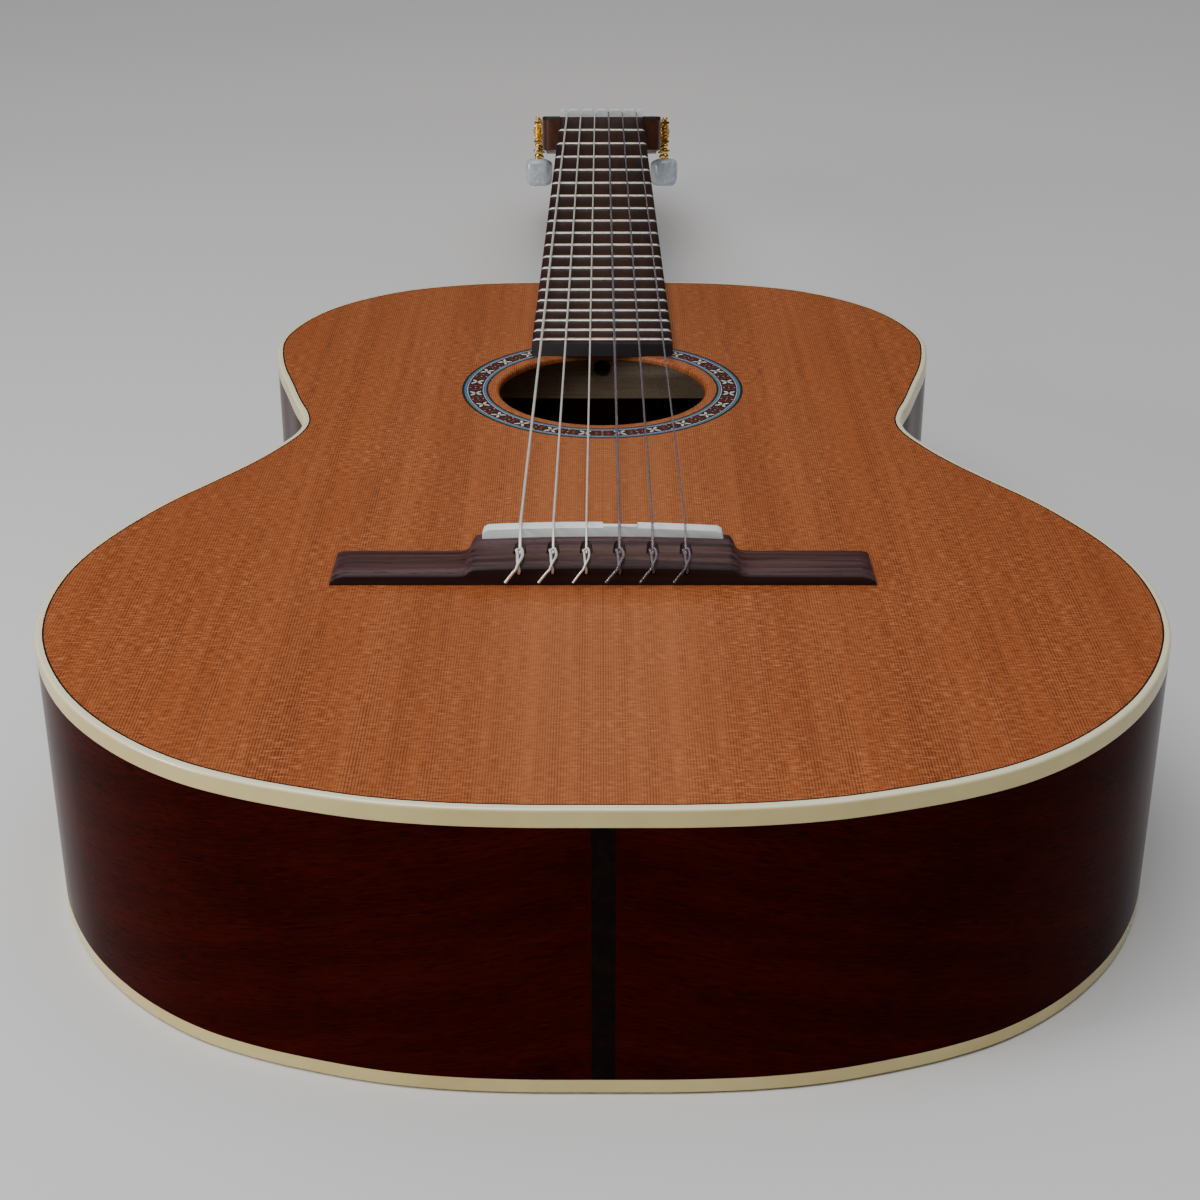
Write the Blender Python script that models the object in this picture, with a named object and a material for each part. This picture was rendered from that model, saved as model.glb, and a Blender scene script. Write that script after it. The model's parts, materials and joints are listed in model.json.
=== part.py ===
"""Full-size classical guitar lying on its back, neck along +Y, strings up.

Lengths below are millimetres in guitar coordinates: x to the treble side, y to the head with 0 at
the saddle, z up from the face of the soundboard. The file is built in metres with the back at z = 0.
"""
import math

import bmesh
import bpy
from mathutils import Vector

# ---------------------------------------------------------------- driving dimensions
SCALE = 650.0            # vibrating string length
DEPTH = 98.5             # soundboard face to back face
GAP = 0.3                # clearance between neighbouring pieces
BIND = 2.3               # binding width
BIND_TOP = 6.5           # top binding height on the side
BIND_BACK = 5.6          # back binding height on the side
TOP_T = 2.6              # soundboard thickness
BACK_T = 2.5             # back thickness
SIDE_T = 2.0             # side thickness
LINING_W = 6.0
LINING_H = 13.0
NECK_END = 325.0         # 12th fret, where the neck meets the body
HOLE_Y = 174.0
HOLE_R = 43.5
ROSE_IN = 48.2
ROSE_OUT = 59.3
ROSE_T = 1.0
STRIP_W = 7.0            # end strip at the tail
NUT_HALF = 25.85         # half width of the fingerboard at the nut
BOARD_END = 214.0
BOARD_END_HALF = 30.9
BOARD_TOP = 6.5
FRETS = 19
FRET_H = 1.0
NUT_T = 5.0
NUT_TOP = 10.4
NUT_SLOT = 8.3
HEAD_TILT = math.radians(14.5)
HEAD_S0 = (657.5, 5.2)   # y, z where the head face starts
HEAD_T = 20.6
VENEER_T = 2.0
HEAD_HALF = 36.5
SLOT_IN = 6.5
SLOT_OUT = 23.0
SLOT_S = (20.5, 124.5)
ROLLER_S = (38.5, 73.5, 108.5)
ROLLER_T = -9.0          # roller axis below the head face
ROLLER_R = 4.6
WORM_X = 41.0
TEETH = 14
PITCH = 2.2              # axial pitch of the worm
WORM_R = 2.1             # pitch radius of the worm
GEAR_R = TEETH * PITCH / (2 * math.pi)
ADD = 0.5                # addendum of worm and gear
DED = 0.75
BRIDGE_HALF = 93.0
BLOCK_HALF = 45.4
SADDLE_HALF = 41.8
STRING_BRIDGE = 28.45    # x of the outer strings at the saddle
STRING_NUT = 21.5
# radius of each string from bass E to treble E
STRING_R = (0.55, 0.45, 0.38, 0.51, 0.41, 0.36)
STRING_NAMES = ("e6", "a5", "d4", "g3", "b2", "e1")

# half outline of the body, from the neck end round to the tail
OUTLINE = ((0, 325), (30, 325), (62, 322.3), (98, 310), (128.5, 282), (144, 243), (142.3, 211),
           (129.5, 163), (121.4, 130), (134.5, 95), (166.5, 43), (183.5, 0), (187, -36), (181, -70),
           (160, -110), (124, -143), (68, -163.5), (30, -167.9), (0, -168.3))

# ---------------------------------------------------------------- clean file
for old in list(bpy.data.objects):
    bpy.data.objects.remove(old, do_unlink=True)

LINKS = bpy.context.scene.collection.objects


def material(name, colour, rough, metal=0.0):
    mat = bpy.data.materials.new(name)
    mat.use_nodes = True
    shader = mat.node_tree.nodes["Principled BSDF"]
    shader.inputs["Base Color"].default_value = (*colour, 1.0)
    shader.inputs["Roughness"].default_value = rough
    shader.inputs["Metallic"].default_value = metal
    return mat


CEDAR = ((0.55, 0.27, 0.11), 0.4)
MAHOGANY = ((0.09, 0.022, 0.015), 0.25)
NECKWOOD = ((0.24, 0.11, 0.06), 0.45)
ROSEWOOD = ((0.06, 0.035, 0.03), 0.4)
SPRUCE = ((0.62, 0.47, 0.3), 0.6)
CREAM = ((0.75, 0.66, 0.46), 0.35)
BONE = ((0.85, 0.84, 0.8), 0.35)
NICKEL = ((0.7, 0.7, 0.7), 0.25, 1.0)
GOLD = ((0.83, 0.6, 0.25), 0.25, 1.0)
PEARL = ((0.6, 0.7, 0.78), 0.25)
WOUND = ((0.75, 0.75, 0.73), 0.3, 1.0)
NYLON = ((0.7, 0.7, 0.72), 0.2)
MOSAIC = ((0.2, 0.16, 0.16), 0.4)


def metres(p):
    return Vector((p[0] * 0.001, p[1] * 0.001, (p[2] + DEPTH) * 0.001))


def solid(name, verts, faces, look, origin=None, smooth=False):
    """Make one object; verts are millimetres in guitar coordinates."""
    base = metres(origin) if origin else Vector((0, 0, 0))
    mesh = bpy.data.meshes.new(name)
    mesh.from_pydata([metres(v) - base for v in verts], [], faces)
    bm = bmesh.new()
    bm.from_mesh(mesh)
    bmesh.ops.recalc_face_normals(bm, faces=bm.faces)
    for face in bm.faces:
        face.smooth = smooth
    bm.to_mesh(mesh)
    bm.free()
    obj = bpy.data.objects.new(name, mesh)
    obj.location = base
    LINKS.link(obj)
    if look:
        mesh.materials.append(material("mat_" + name, *look))
    return obj


def cutter(name, verts, faces):
    obj = solid(name, verts, faces, None)
    obj.hide_render = True
    obj.display_type = "WIRE"
    return obj


def combine(target, tool, operation):
    mod = target.modifiers.new(tool.name, "BOOLEAN")
    mod.operation = operation
    mod.solver = "EXACT"
    mod.object = tool


def join_parts(parts):
    """Put several (verts, faces) pairs into one pair."""
    verts = []
    faces = []
    for v, f in parts:
        base = len(verts)
        verts += v
        faces += [tuple(i + base for i in face) for face in f]
    return verts, faces


def loft(rings):
    """Closed body through rings of equal length, with flat end caps."""
    n = len(rings[0])
    verts = [tuple(p) for ring in rings for p in ring]
    faces = []
    for k in range(len(rings) - 1):
        for i in range(n):
            j = (i + 1) % n
            faces.append((k * n + i, k * n + j, (k + 1) * n + j, (k + 1) * n + i))
    faces.append(tuple(range(n)))
    faces.append(tuple(range((len(rings) - 1) * n, len(rings) * n)))
    return verts, faces


def closed_tube(rings):
    """Closed band through rings that come back to the first ring."""
    n = len(rings[0])
    m = len(rings)
    verts = [tuple(p) for ring in rings for p in ring]
    faces = []
    for k in range(m):
        q = (k + 1) % m
        for i in range(n):
            j = (i + 1) % n
            faces.append((k * n + i, k * n + j, q * n + j, q * n + i))
    return verts, faces


def prism_z(outline, z0, z1):
    return loft([[(x, y, z0) for x, y in outline], [(x, y, z1) for x, y in outline]])


def box(x0, x1, y0, y1, z0, z1):
    return prism_z([(x0, y0), (x1, y0), (x1, y1), (x0, y1)], z0, z1)


def circle(cx, cy, r, n, start=0.0):
    step = 2 * math.pi / n
    return [(cx + r * math.cos(start + step * i), cy + r * math.sin(start + step * i))
            for i in range(n)]


def rod_x(x0, x1, y, z, r, n):
    ring = circle(y, z, r, n)
    return loft([[(x0, a, b) for a, b in ring], [(x1, a, b) for a, b in ring]])


def rod_y(x, y0, y1, z, r, n):
    ring = circle(x, z, r, n)
    return loft([[(a, y0, b) for a, b in ring], [(a, y1, b) for a, b in ring]])


# ---------------------------------------------------------------- body outline
def spline(points, per_span):
    """Catmull-Rom curve through the points with chord-length spacing."""
    pts = [Vector(p) for p in points]
    pts = [2 * pts[0] - pts[1]] + pts + [2 * pts[-1] - pts[-2]]
    out = []
    for k in range(1, len(pts) - 2):
        p0, p1, p2, p3 = pts[k - 1:k + 3]
        d1 = math.sqrt((p1 - p0).length)
        d2 = math.sqrt((p2 - p1).length)
        d3 = math.sqrt((p3 - p2).length)
        m1 = (p2 - p1) / d2 - (p2 - p0) / (d1 + d2) + (p1 - p0) / d1
        m2 = (p3 - p2) / d3 - (p3 - p1) / (d2 + d3) + (p2 - p1) / d2
        m1 *= d2
        m2 *= d2
        for i in range(per_span):
            t = i / per_span
            a = 2 * t ** 3 - 3 * t ** 2 + 1
            b = t ** 3 - 2 * t ** 2 + t
            c = -2 * t ** 3 + 3 * t ** 2
            d = t ** 3 - t ** 2
            out.append(a * p1 + b * m1 + c * p2 + d * m2)
    out.append(pts[-2])
    return out


def even(points, count):
    """Resample a polyline to count points, closer together where it turns."""
    runs = [0.0]
    turns = [0.0]
    for k in range(1, len(points)):
        step = points[k] - points[k - 1]
        runs.append(runs[-1] + step.length)
        bend = (points[k + 1] - points[k]).angle(step) if k + 1 < len(points) else 0.0
        turns.append(turns[-1] + bend)
    mix = [a / runs[-1] + b / turns[-1] for a, b in zip(runs, turns)]
    out = []
    k = 0
    for i in range(count):
        want = mix[-1] * i / (count - 1)
        while k < len(mix) - 2 and mix[k + 1] < want:
            k += 1
        f = (want - mix[k]) / (mix[k + 1] - mix[k])
        out.append(points[k].lerp(points[k + 1], f))
    return out


HALF_N = 46
half = even(spline([(x, y) for x, y in OUTLINE], 12), HALF_N)
left = [Vector((-p.x, p.y)) for p in reversed(half[1:-1])]
RIM = half + left                       # closed, starts at the neck end, treble side first
RIM_N = len(RIM)
RIM_NORMAL = []
for i in range(RIM_N):
    t = (RIM[(i + 1) % RIM_N] - RIM[i - 1]).normalized()
    RIM_NORMAL.append(Vector((-t.y, t.x)))


def inset(d):
    """Outline moved inwards by d."""
    sign = 1.0 if RIM_NORMAL[HALF_N // 2].x < 0 else -1.0
    return [(p.x + sign * d * n.x, p.y + sign * d * n.y) for p, n in zip(RIM, RIM_NORMAL)]


def band(d0, d1, z0, z1):
    """Closed ring round the body between two insets."""
    a = inset(d0)
    b = inset(d1)
    rings = []
    for p, q in zip(a, b):
        rings.append([(*p, z0), (*p, z1), (*q, z1), (*q, z0)])
    return closed_tube(rings)


def half_band(d0, d1, z0, z1, x_neck, x_tail, side):
    """Part of the band on one side, cut square at x_neck and x_tail."""
    a = inset(d0)[:HALF_N]
    b = inset(d1)[:HALF_N]
    keep = [k for k in range(1, HALF_N - 1) if a[k][0] > x_neck + 2 and b[k][0] > x_neck + 2
            or a[k][1] < 0]
    keep = [k for k in keep if a[k][1] > 0 or b[k][0] > x_tail + 2]
    first = keep[0]
    last = keep[-1]

    def at(line, k, x):
        (x0, y0), (x1, y1) = line[k], line[k + 1]
        f = (x - x0) / (x1 - x0)
        return x, y0 + f * (y1 - y0)

    def cut(line, x, lo, hi):
        for k in range(lo, hi):
            if (line[k][0] - x) * (line[k + 1][0] - x) <= 0:
                return at(line, k, x)
        return at(line, lo, x)

    ends_a = cut(a, x_neck, 0, first), cut(a, x_tail, last, HALF_N - 1)
    ends_b = cut(b, x_neck, 0, first), cut(b, x_tail, last, HALF_N - 1)
    outer = [ends_a[0]] + [a[k] for k in keep] + [ends_a[1]]
    inner = [ends_b[0]] + [b[k] for k in keep] + [ends_b[1]]
    rings = []
    for p, q in zip(outer, inner):
        rings.append([(side * p[0], p[1], z0), (side * p[0], p[1], z1),
                      (side * q[0], q[1], z1), (side * q[0], q[1], z0)])
    return loft(rings)


# ---------------------------------------------------------------- body
top = solid("soundboard", *prism_z(inset(BIND + GAP), -TOP_T, 0.0), CEDAR)
combine(top, cutter("cut_hole", *prism_z(circle(0, HOLE_Y, HOLE_R, 56), -9, 5)), "DIFFERENCE")


def disc_ring(r0, r1, z0, z1, n):
    rings = []
    for i in range(n):
        c = math.cos(2 * math.pi * i / n)
        s = math.sin(2 * math.pi * i / n)
        rings.append([(r0 * c, HOLE_Y + r0 * s, z0), (r1 * c, HOLE_Y + r1 * s, z0),
                      (r1 * c, HOLE_Y + r1 * s, z1), (r0 * c, HOLE_Y + r0 * s, z1)])
    return closed_tube(rings)


combine(top, cutter("cut_rosette", *disc_ring(ROSE_IN - GAP, ROSE_OUT + GAP, -ROSE_T - GAP, 3, 56)),
        "DIFFERENCE")
solid("rosette", *disc_ring(ROSE_IN, ROSE_OUT, -ROSE_T, 0.0, 56), MOSAIC)

solid("back_plate", *prism_z(inset(BIND + GAP), -DEPTH, -DEPTH + BACK_T), MAHOGANY)
solid("top_binding", *band(0.0, BIND, -BIND_TOP, 0.0), CREAM)
solid("back_binding", *band(0.0, BIND, -DEPTH, -DEPTH + BIND_BACK), CREAM)

SIDE_LO = -DEPTH + BIND_BACK + GAP
SIDE_HI = -BIND_TOP - GAP
for label, sgn in (("bass", -1), ("treble", 1)):
    v, f = half_band(0.0, SIDE_T, SIDE_LO, SIDE_HI, GAP, STRIP_W / 2 + GAP, sgn)
    solid("side_" + label, v, f, MAHOGANY)


def tail_y(x, d):
    """y of the inset outline near the tail at a given x."""
    line = inset(d)[HALF_N - 12:HALF_N]
    for (x0, y0), (x1, y1) in zip(line, line[1:]):
        if x1 <= x <= x0:
            return y0 + (y1 - y0) * (x0 - x) / (x0 - x1)
    return line[-1][1]


hw = STRIP_W / 2
strip = [(-hw, tail_y(hw, 0.0)), (0.0, tail_y(0.0, 0.0)), (hw, tail_y(hw, 0.0)),
         (hw, tail_y(hw, SIDE_T)), (-hw, tail_y(hw, SIDE_T))]
solid("end_strip", *prism_z(strip, SIDE_LO, SIDE_HI), ROSEWOOD)

# linings run round the rim and stop either side of the neck block
L0 = BIND + GAP
L1 = L0 + LINING_W


def open_lining(z0, z1, x_stop):
    a = inset(L0)
    b = inset(L1)
    keep = [k for k in range(RIM_N) if a[k][1] < 200 or abs(a[k][0]) > x_stop]
    rings = [[(*a[k], z0), (*a[k], z1), (*b[k], z1), (*b[k], z0)] for k in keep]
    return loft(rings)


solid("top_lining", *open_lining(-TOP_T - GAP - LINING_H, -TOP_T - GAP, 36), SPRUCE)
solid("back_lining", *open_lining(-DEPTH + BACK_T + GAP, -DEPTH + BACK_T + GAP + LINING_H, 36), SPRUCE)

IN_HI = -TOP_T - GAP
IN_LO = -DEPTH + BACK_T + GAP
block = [(-30, 322.2), (30, 322.2), (30, 292), (22, 285), (-22, 285), (-30, 292)]
solid("neck_block", *prism_z(block, IN_LO, IN_HI), MAHOGANY)
tail = tail_y(0, L1) + GAP + 0.6
block = [(-34, tail + 1.4), (-17, tail + 0.4), (0, tail), (17, tail + 0.4), (34, tail + 1.4),
         (34, tail + 14), (28, tail + 18), (-28, tail + 18), (-34, tail + 14)]
solid("tail_block", *prism_z(block, IN_LO, IN_HI), MAHOGANY)


def bar(y, half_len, width, z_glue, height, tip):
    """Cross bar with thinned ends; height is signed."""
    z1 = z_glue + height
    z2 = z_glue + tip
    prof = [(-half_len, z_glue), (half_len, z_glue), (half_len, z2), (half_len - 32, z1),
            (-half_len + 32, z1), (-half_len, z2)]
    return loft([[(x, y - width / 2, z) for x, z in prof], [(x, y + width / 2, z) for x, z in prof]])


def strut(x0, y0, x1, y1, width, z_glue, height, tip):
    """Lengthwise strut from one point to another, thinned at its second end."""
    d = Vector((x1 - x0, y1 - y0)).normalized()
    n = Vector((-d.y, d.x)) * (width / 2)
    reach = min(30.0, Vector((x1 - x0, y1 - y0)).length / 3)
    stops = [(0.0, height), (-reach, height), (None, tip)]
    rings = []
    for back, h in stops:
        if back is None:
            px, py = x1, y1
        elif back == 0.0:
            px, py = x0, y0
        else:
            px, py = x1 + d.x * back, y1 + d.y * back
        rings.append([(px - n.x, py - n.y, z_glue), (px + n.x, py + n.y, z_glue),
                      (px + n.x * 0.5, py + n.y * 0.5, z_glue + h),
                      (px - n.x * 0.5, py - n.y * 0.5, z_glue + h)])
    return loft(rings)


bars = join_parts([bar(231.0, 128, 7, IN_HI, -21.7, -5), bar(112.0, 109, 7, IN_HI, -16, -5)])
braces = solid("top_bracing", *bars, SPRUCE)
fans = [strut(-56, 115, -56, 228.5, 8, IN_HI, -5, -5), strut(56, 115, 56, 228.5, 8, IN_HI, -5, -5)]
for k in range(-3, 4):
    spread = 30.0 * k
    fans.append(strut(k * 17.0, 110.5, k * 17.0 + spread, -112 + 7 * abs(k), 6, IN_HI, -6, -2))
combine(braces, cutter("add_fans", *join_parts(fans)), "UNION")
combine(braces, cutter("cut_rod_access", *rod_y(0, 224, 238, -10.4, 4.0, 12)), "DIFFERENCE")

bars = [bar(250.0, 122, 8, IN_LO, 14, 4), bar(60.0, 139, 8, IN_LO, 14, 4), bar(-60.0, 168, 8, IN_LO, 14, 4)]
braces = solid("back_bracing", *join_parts(bars), SPRUCE)
centre = box(-8, 8, -136, 281, IN_LO, IN_LO + 2.2)
combine(braces, cutter("add_centre_strip", *centre), "UNION")

# ---------------------------------------------------------------- fingerboard and frets
BOARD_SLOPE = (BOARD_END_HALF - NUT_HALF) / (SCALE - BOARD_END)


def board_half(y):
    return NUT_HALF + (SCALE - y) * BOARD_SLOPE


def fret_y(n):
    return SCALE * 2 ** (-n / 12)


def across(profile, trim=0.0):
    """Body of a y, z profile that spans the tapered board."""
    a = [(-(board_half(y) - trim), y, z) for y, z in profile]
    b = [(board_half(y) - trim, y, z) for y, z in profile]
    return loft([a, b])


profile = [(BOARD_END, GAP), (SCALE, GAP), (SCALE, BOARD_TOP)]
for n in range(1, FRETS + 1):
    y = fret_y(n)
    profile += [(y + 0.6, BOARD_TOP), (y + 0.6, BOARD_TOP - 2.0), (y - 0.6, BOARD_TOP - 2.0),
                (y - 0.6, BOARD_TOP)]
profile += [(BOARD_END, BOARD_TOP)]
solid("fingerboard", *across(profile), ROSEWOOD)

for n in range(1, FRETS + 1):
    y = fret_y(n)
    z = BOARD_TOP + GAP
    h = FRET_H - GAP
    prof = [(y - 1.2, z), (y - 1.05, z + 0.5 * h), (y - 0.5, z + h), (y + 0.5, z + h),
            (y + 1.05, z + 0.5 * h), (y + 1.2, z), (y + 0.3, z), (y + 0.3, z - 1.9),
            (y - 0.3, z - 1.9), (y - 0.3, z)]
    solid("fret_%02d" % n, *across(prof, 0.15), NICKEL)

# ---------------------------------------------------------------- strings
def string_x(k, y):
    a = STRING_BRIDGE * (2 * k / 5 - 1)
    b = STRING_NUT * (2 * k / 5 - 1)
    return a + (b - a) * y / SCALE


def saddle_top(x):
    return 13.3 - 0.0007 * (x + 4) ** 2


def head(x, s, t):
    """Point on the head: s along its face from the nut, t up from the face."""
    c = math.cos(HEAD_TILT)
    q = math.sin(HEAD_TILT)
    return x, HEAD_S0[0] + s * c + t * q, HEAD_S0[1] - s * q + t * c


NUT_Y0 = SCALE + GAP
NUT_Y1 = NUT_Y0 + NUT_T
outline = [(-NUT_HALF + 0.2, GAP), (NUT_HALF - 0.2, GAP), (NUT_HALF - 0.2, NUT_TOP - 0.9),
           (NUT_HALF - 0.9, NUT_TOP - 0.1)]
for k in range(5, -1, -1):
    x = string_x(k, SCALE)
    w = STRING_R[k] + GAP
    outline += [(x + w, NUT_TOP), (x + w, NUT_SLOT), (x - w, NUT_SLOT), (x - w, NUT_TOP)]
outline += [(-NUT_HALF + 0.9, NUT_TOP - 0.1), (-NUT_HALF + 0.2, NUT_TOP - 0.9)]
solid("nut", *loft([[(x, NUT_Y0, z) for x, z in outline], [(x, NUT_Y1, z) for x, z in outline]]), BONE)

HOLE_Z = 4.6             # height of the tie holes
ROLLER_X = (19.5, 16.0, 12.0)


def tube(path, r, n):
    """Round tube along a path of points, mitred at the bends."""
    pts = [Vector(p) for p in path]
    rings = []
    for i, p in enumerate(pts):
        d0 = (p - pts[i - 1]).normalized() if i else (pts[1] - p).normalized()
        d1 = (pts[i + 1] - p).normalized() if i < len(pts) - 1 else d0
        t = (d0 + d1).normalized()
        side = t.cross(Vector((1, 0, 0))).normalized()
        up = side.cross(t)
        grow = 1.0 / max(0.5, d1.dot(t))
        rings.append([p + r * (math.cos(a) * up + grow * math.sin(a) * side)
                      for a in (2 * math.pi * j / n for j in range(n))])
    return loft(rings)


for k, name in enumerate(STRING_NAMES):
    r = STRING_R[k]
    side = -1 if k < 3 else 1
    order = k if k < 3 else 5 - k
    xb = string_x(k, 0)
    xn = string_x(k, SCALE)
    rest = saddle_top(xb) + 0.15 + r
    over = NUT_SLOT + GAP + r
    s_end = ROLLER_S[order] - 1.0
    end = head(side * ROLLER_X[order], s_end, ROLLER_T + ROLLER_R + 0.4 + r)
    path = [(xb, -23.2, HOLE_Z), (xb, -13.2, HOLE_Z), (xb, -0.9, rest), (xb, 1.0, rest),
            (xn, NUT_Y0, over), (xn, NUT_Y1 - 0.2, over), end]
    solid("string_" + name, *tube(path, r, 8), WOUND if k < 3 else NYLON, smooth=True)

# ---------------------------------------------------------------- bridge and saddle
BLOCK = ((-22.5, 0.3), (-22.4, 6.3), (-21.6, 7.3), (-19.8, 8.0), (-13.8, 8.1), (-5.0, 8.7),
         (-1.5, 8.9), (2.4, 8.8), (4.2, 7.4), (4.8, 0.3))
WING = ((-22.5, 0.3), (-22.4, 3.0), (-21.8, 3.8), (-20.4, 4.2), (-14.0, 4.3), (-9.0, 3.8),
        (-4.0, 2.7), (1.0, 1.6), (4.2, 0.9), (4.6, 0.3))


def bridge_ring(x, mix, tall=1.0, trim=0.0):
    """Cross-section of the bridge: mix 0 is the wing, 1 the tie block."""
    ring = []
    for (y0, z0), (y1, z1) in zip(WING, BLOCK):
        y = y0 + (y1 - y0) * mix
        z = z0 + (z1 - z0) * mix
        crown = 1.0 - 0.00006 * x * x if mix > 0.5 else 1.0
        z = 0.3 + (z - 0.3) * tall * crown
        ring.append((x, y + trim * (1 if y < -9 else -1) * min(1.0, abs(y + 9) / 5), z))
    return ring


right = [(0, 1), (16, 1), (30, 1), (42.5, 1), (44.2, 0.97), (45.6, 0.55), (46.6, 0.22), (49.0, 0.05),
         (53.0, 0), (88.0, 0)]
rings = [bridge_ring(x, m) for x, m in right]
rings += [bridge_ring(90.8, 0, 0.8), bridge_ring(92.4, 0, 0.45), bridge_ring(BRIDGE_HALF, 0, 0.08)]
lefts = [[(-x, y, z) for x, y, z in ring] for ring in reversed(rings[1:])]
bridge = solid("bridge", *loft(lefts + rings), ROSEWOOD)
CHANNEL = 37.5
prof = [(-13.8, 12), (-13.8, 3.2), (-11.0, 3.2), (-5.2, 8.5), (-5.0, 12)]
channel = loft([[(-CHANNEL, y, z) for y, z in prof], [(CHANNEL, y, z) for y, z in prof]])
combine(bridge, cutter("cut_channel", *channel), "DIFFERENCE")
slot = box(-SADDLE_HALF - GAP, SADDLE_HALF + GAP, -1.45 - GAP, 1.45 + GAP, 2.6, 15)
combine(bridge, cutter("cut_saddle_slot", *slot), "DIFFERENCE")
ties = join_parts([rod_y(string_x(k, 0), -26, -9.0, HOLE_Z, 1.1, 10) for k in range(6)])
combine(bridge, cutter("cut_tie_holes", *ties), "DIFFERENCE")
scoops = join_parts([rod_y(string_x(k, 0), -13.75, -4.7, 6.1, 2.4, 12) for k in range(6)])
combine(bridge, cutter("cut_scoops", *scoops), "DIFFERENCE")


def saddle_ring(x, drop=0.0):
    top_z = saddle_top(x) - drop
    if 0.0 <= x <= 11.9:
        crest = [(1.45, top_z - 1.3), (0.2, top_z - 0.35), (-0.7, top_z), (-1.45, top_z - 0.6)]
    else:
        crest = [(1.45, top_z - 0.3), (1.1, top_z), (0.5, top_z - 0.1), (-1.45, top_z - 1.2)]
    return [(x, y, z) for y, z in [(-1.45, 2.9), (1.45, 2.9)] + crest]


xs = [-39.6, -34, -28, -20, -12, -5, -0.15, 0.15, 6, 11.75, 12.1, 20, 28, 34, 39.6]
rings = [saddle_ring(-SADDLE_HALF, 2.4), saddle_ring(-41.1, 0.8)]
rings += [saddle_ring(x) for x in xs]
rings += [saddle_ring(41.1, 0.8), saddle_ring(SADDLE_HALF, 2.4)]
solid("saddle", *loft(rings), BONE)

# ---------------------------------------------------------------- neck, heel, head
def neck_ring(y, deep, width, square):
    """Section under the fingerboard: flat top, rounded or keel-shaped below."""
    ring = [(-width, y, 0.0), (width, y, 0.0)]
    for j in range(1, 10):
        a = math.pi * j / 10
        cx = math.cos(a)
        sx = math.sin(a)
        x = width * math.copysign(abs(cx) ** square, cx)
        ring.append((x, y, -deep * abs(sx) ** 0.8))
    return ring


HEEL_FACE = NECK_END + GAP


def heel_ring(y, deep, foot):
    """Section through the heel: full width above, narrowing to a flat foot."""
    width = board_half(y)
    sides = []
    for j in range(1, 5):
        v = j / 4.0
        sides.append((foot + (width - foot) * (1.0 - v) ** 1.25, -deep * v))
    ring = [(-width, y, 0.0), (width, y, 0.0)]
    ring += [(x, y, z) for x, z in sides]
    ring.append((0.0, y, -deep))
    ring += [(-x, y, z) for x, z in reversed(sides)]
    return ring


CAP_T = 3.0
FOOT_Z = DEPTH - CAP_T - GAP
HEEL_FOOT = ((0.0, 15.0), (6.0, 13.6), (10.5, 9.8), (13.2, 4.5))
rings = [heel_ring(HEEL_FACE + dy, FOOT_Z, foot) for dy, foot in HEEL_FOOT]
for dy, deep, foot in ((15.2, FOOT_Z - 8, 3.0), (18.0, FOOT_Z - 26, 4.5), (21.5, 52, 7.0),
                       (26.0, 38, 10.0), (33.0, 28.5, 14.0)):
    rings.append(heel_ring(HEEL_FACE + dy, deep, foot))
for y, deep in ((372, 22.5), (390, 18.8), (430, 17.2), (520, 16.4), (600, 15.8), (634, 15.4), (647, 15.6),
                (657, 15.6)):
    rings.append(neck_ring(y, deep, board_half(y), 0.8))
neck = solid("neck", *loft(rings), NECKWOOD)


def head_prism(outline, t0, t1):
    a = [head(x, s, t0) for s, x in outline]
    b = [head(x, s, t1) for s, x in outline]
    return loft([a, b])


HEAD_SIDE = ((-0.6, 26.2), (-0.4, 33.4), (0.8, 35.4), (3.0, HEAD_HALF), (150.0, HEAD_HALF), (163.0, 37.4),
             (172.0, 39.0), (179.0, 34.0), (183.5, 25.0), (184.0, 15.0), (187.5, 8.0))
HEAD_OUTLINE = [(s, x) for s, x in HEAD_SIDE] + [(188.6, 0.0)] + [(s, -x) for s, x in reversed(HEAD_SIDE)]
WOOD_T = -VENEER_T - GAP
combine(neck, cutter("add_head", *head_prism(HEAD_OUTLINE, WOOD_T, -HEAD_T)), "UNION")


def slot_plan(x0, x1, s0, s1, n=6):
    r = (x1 - x0) / 2
    mid = (x0 + x1) / 2
    pts = []
    for i in range(n + 1):
        a = math.pi * i / n
        pts.append((s1 - r + r * math.sin(a), mid + r * math.cos(a)))
    for i in range(n + 1):
        a = math.pi * i / n
        pts.append((s0 + r - r * math.sin(a), mid - r * math.cos(a)))
    return pts


slots = join_parts([head_prism(slot_plan(a, b, *SLOT_S), 3.0, -HEAD_T - 4)
                    for a, b in ((SLOT_IN, SLOT_OUT), (-SLOT_OUT, -SLOT_IN))])
cut_slots = cutter("cut_head_slots", *slots)
combine(neck, cut_slots, "DIFFERENCE")
ramps = []
for sgn in (-1, 1):
    prof = ((10.5, 0.2), (9.0, 4.0), (40.0, 4.0), (40.0, -8.4))
    a = [head(sgn * (SLOT_IN + 0.4), s, t) for s, t in prof]
    b = [head(sgn * (SLOT_OUT - 0.4), s, t) for s, t in prof]
    ramps.append(loft([a, b]))
cut_ramps = cutter("cut_head_ramps", *join_parts(ramps))
combine(neck, cut_ramps, "DIFFERENCE")


def rod_head(x0, x1, s, t, r, n):
    ring = circle(s, t, r, n)
    return loft([[head(x0, a, b) for a, b in ring], [head(x1, a, b) for a, b in ring]])


bores = []
for sgn in (-1, 1):
    for s in ROLLER_S:
        bores.append(rod_head(sgn * 4.0, sgn * 40.0, s, ROLLER_T, ROLLER_R + 0.4, 12))
combine(neck, cutter("cut_roller_bores", *join_parts(bores)), "DIFFERENCE")

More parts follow.
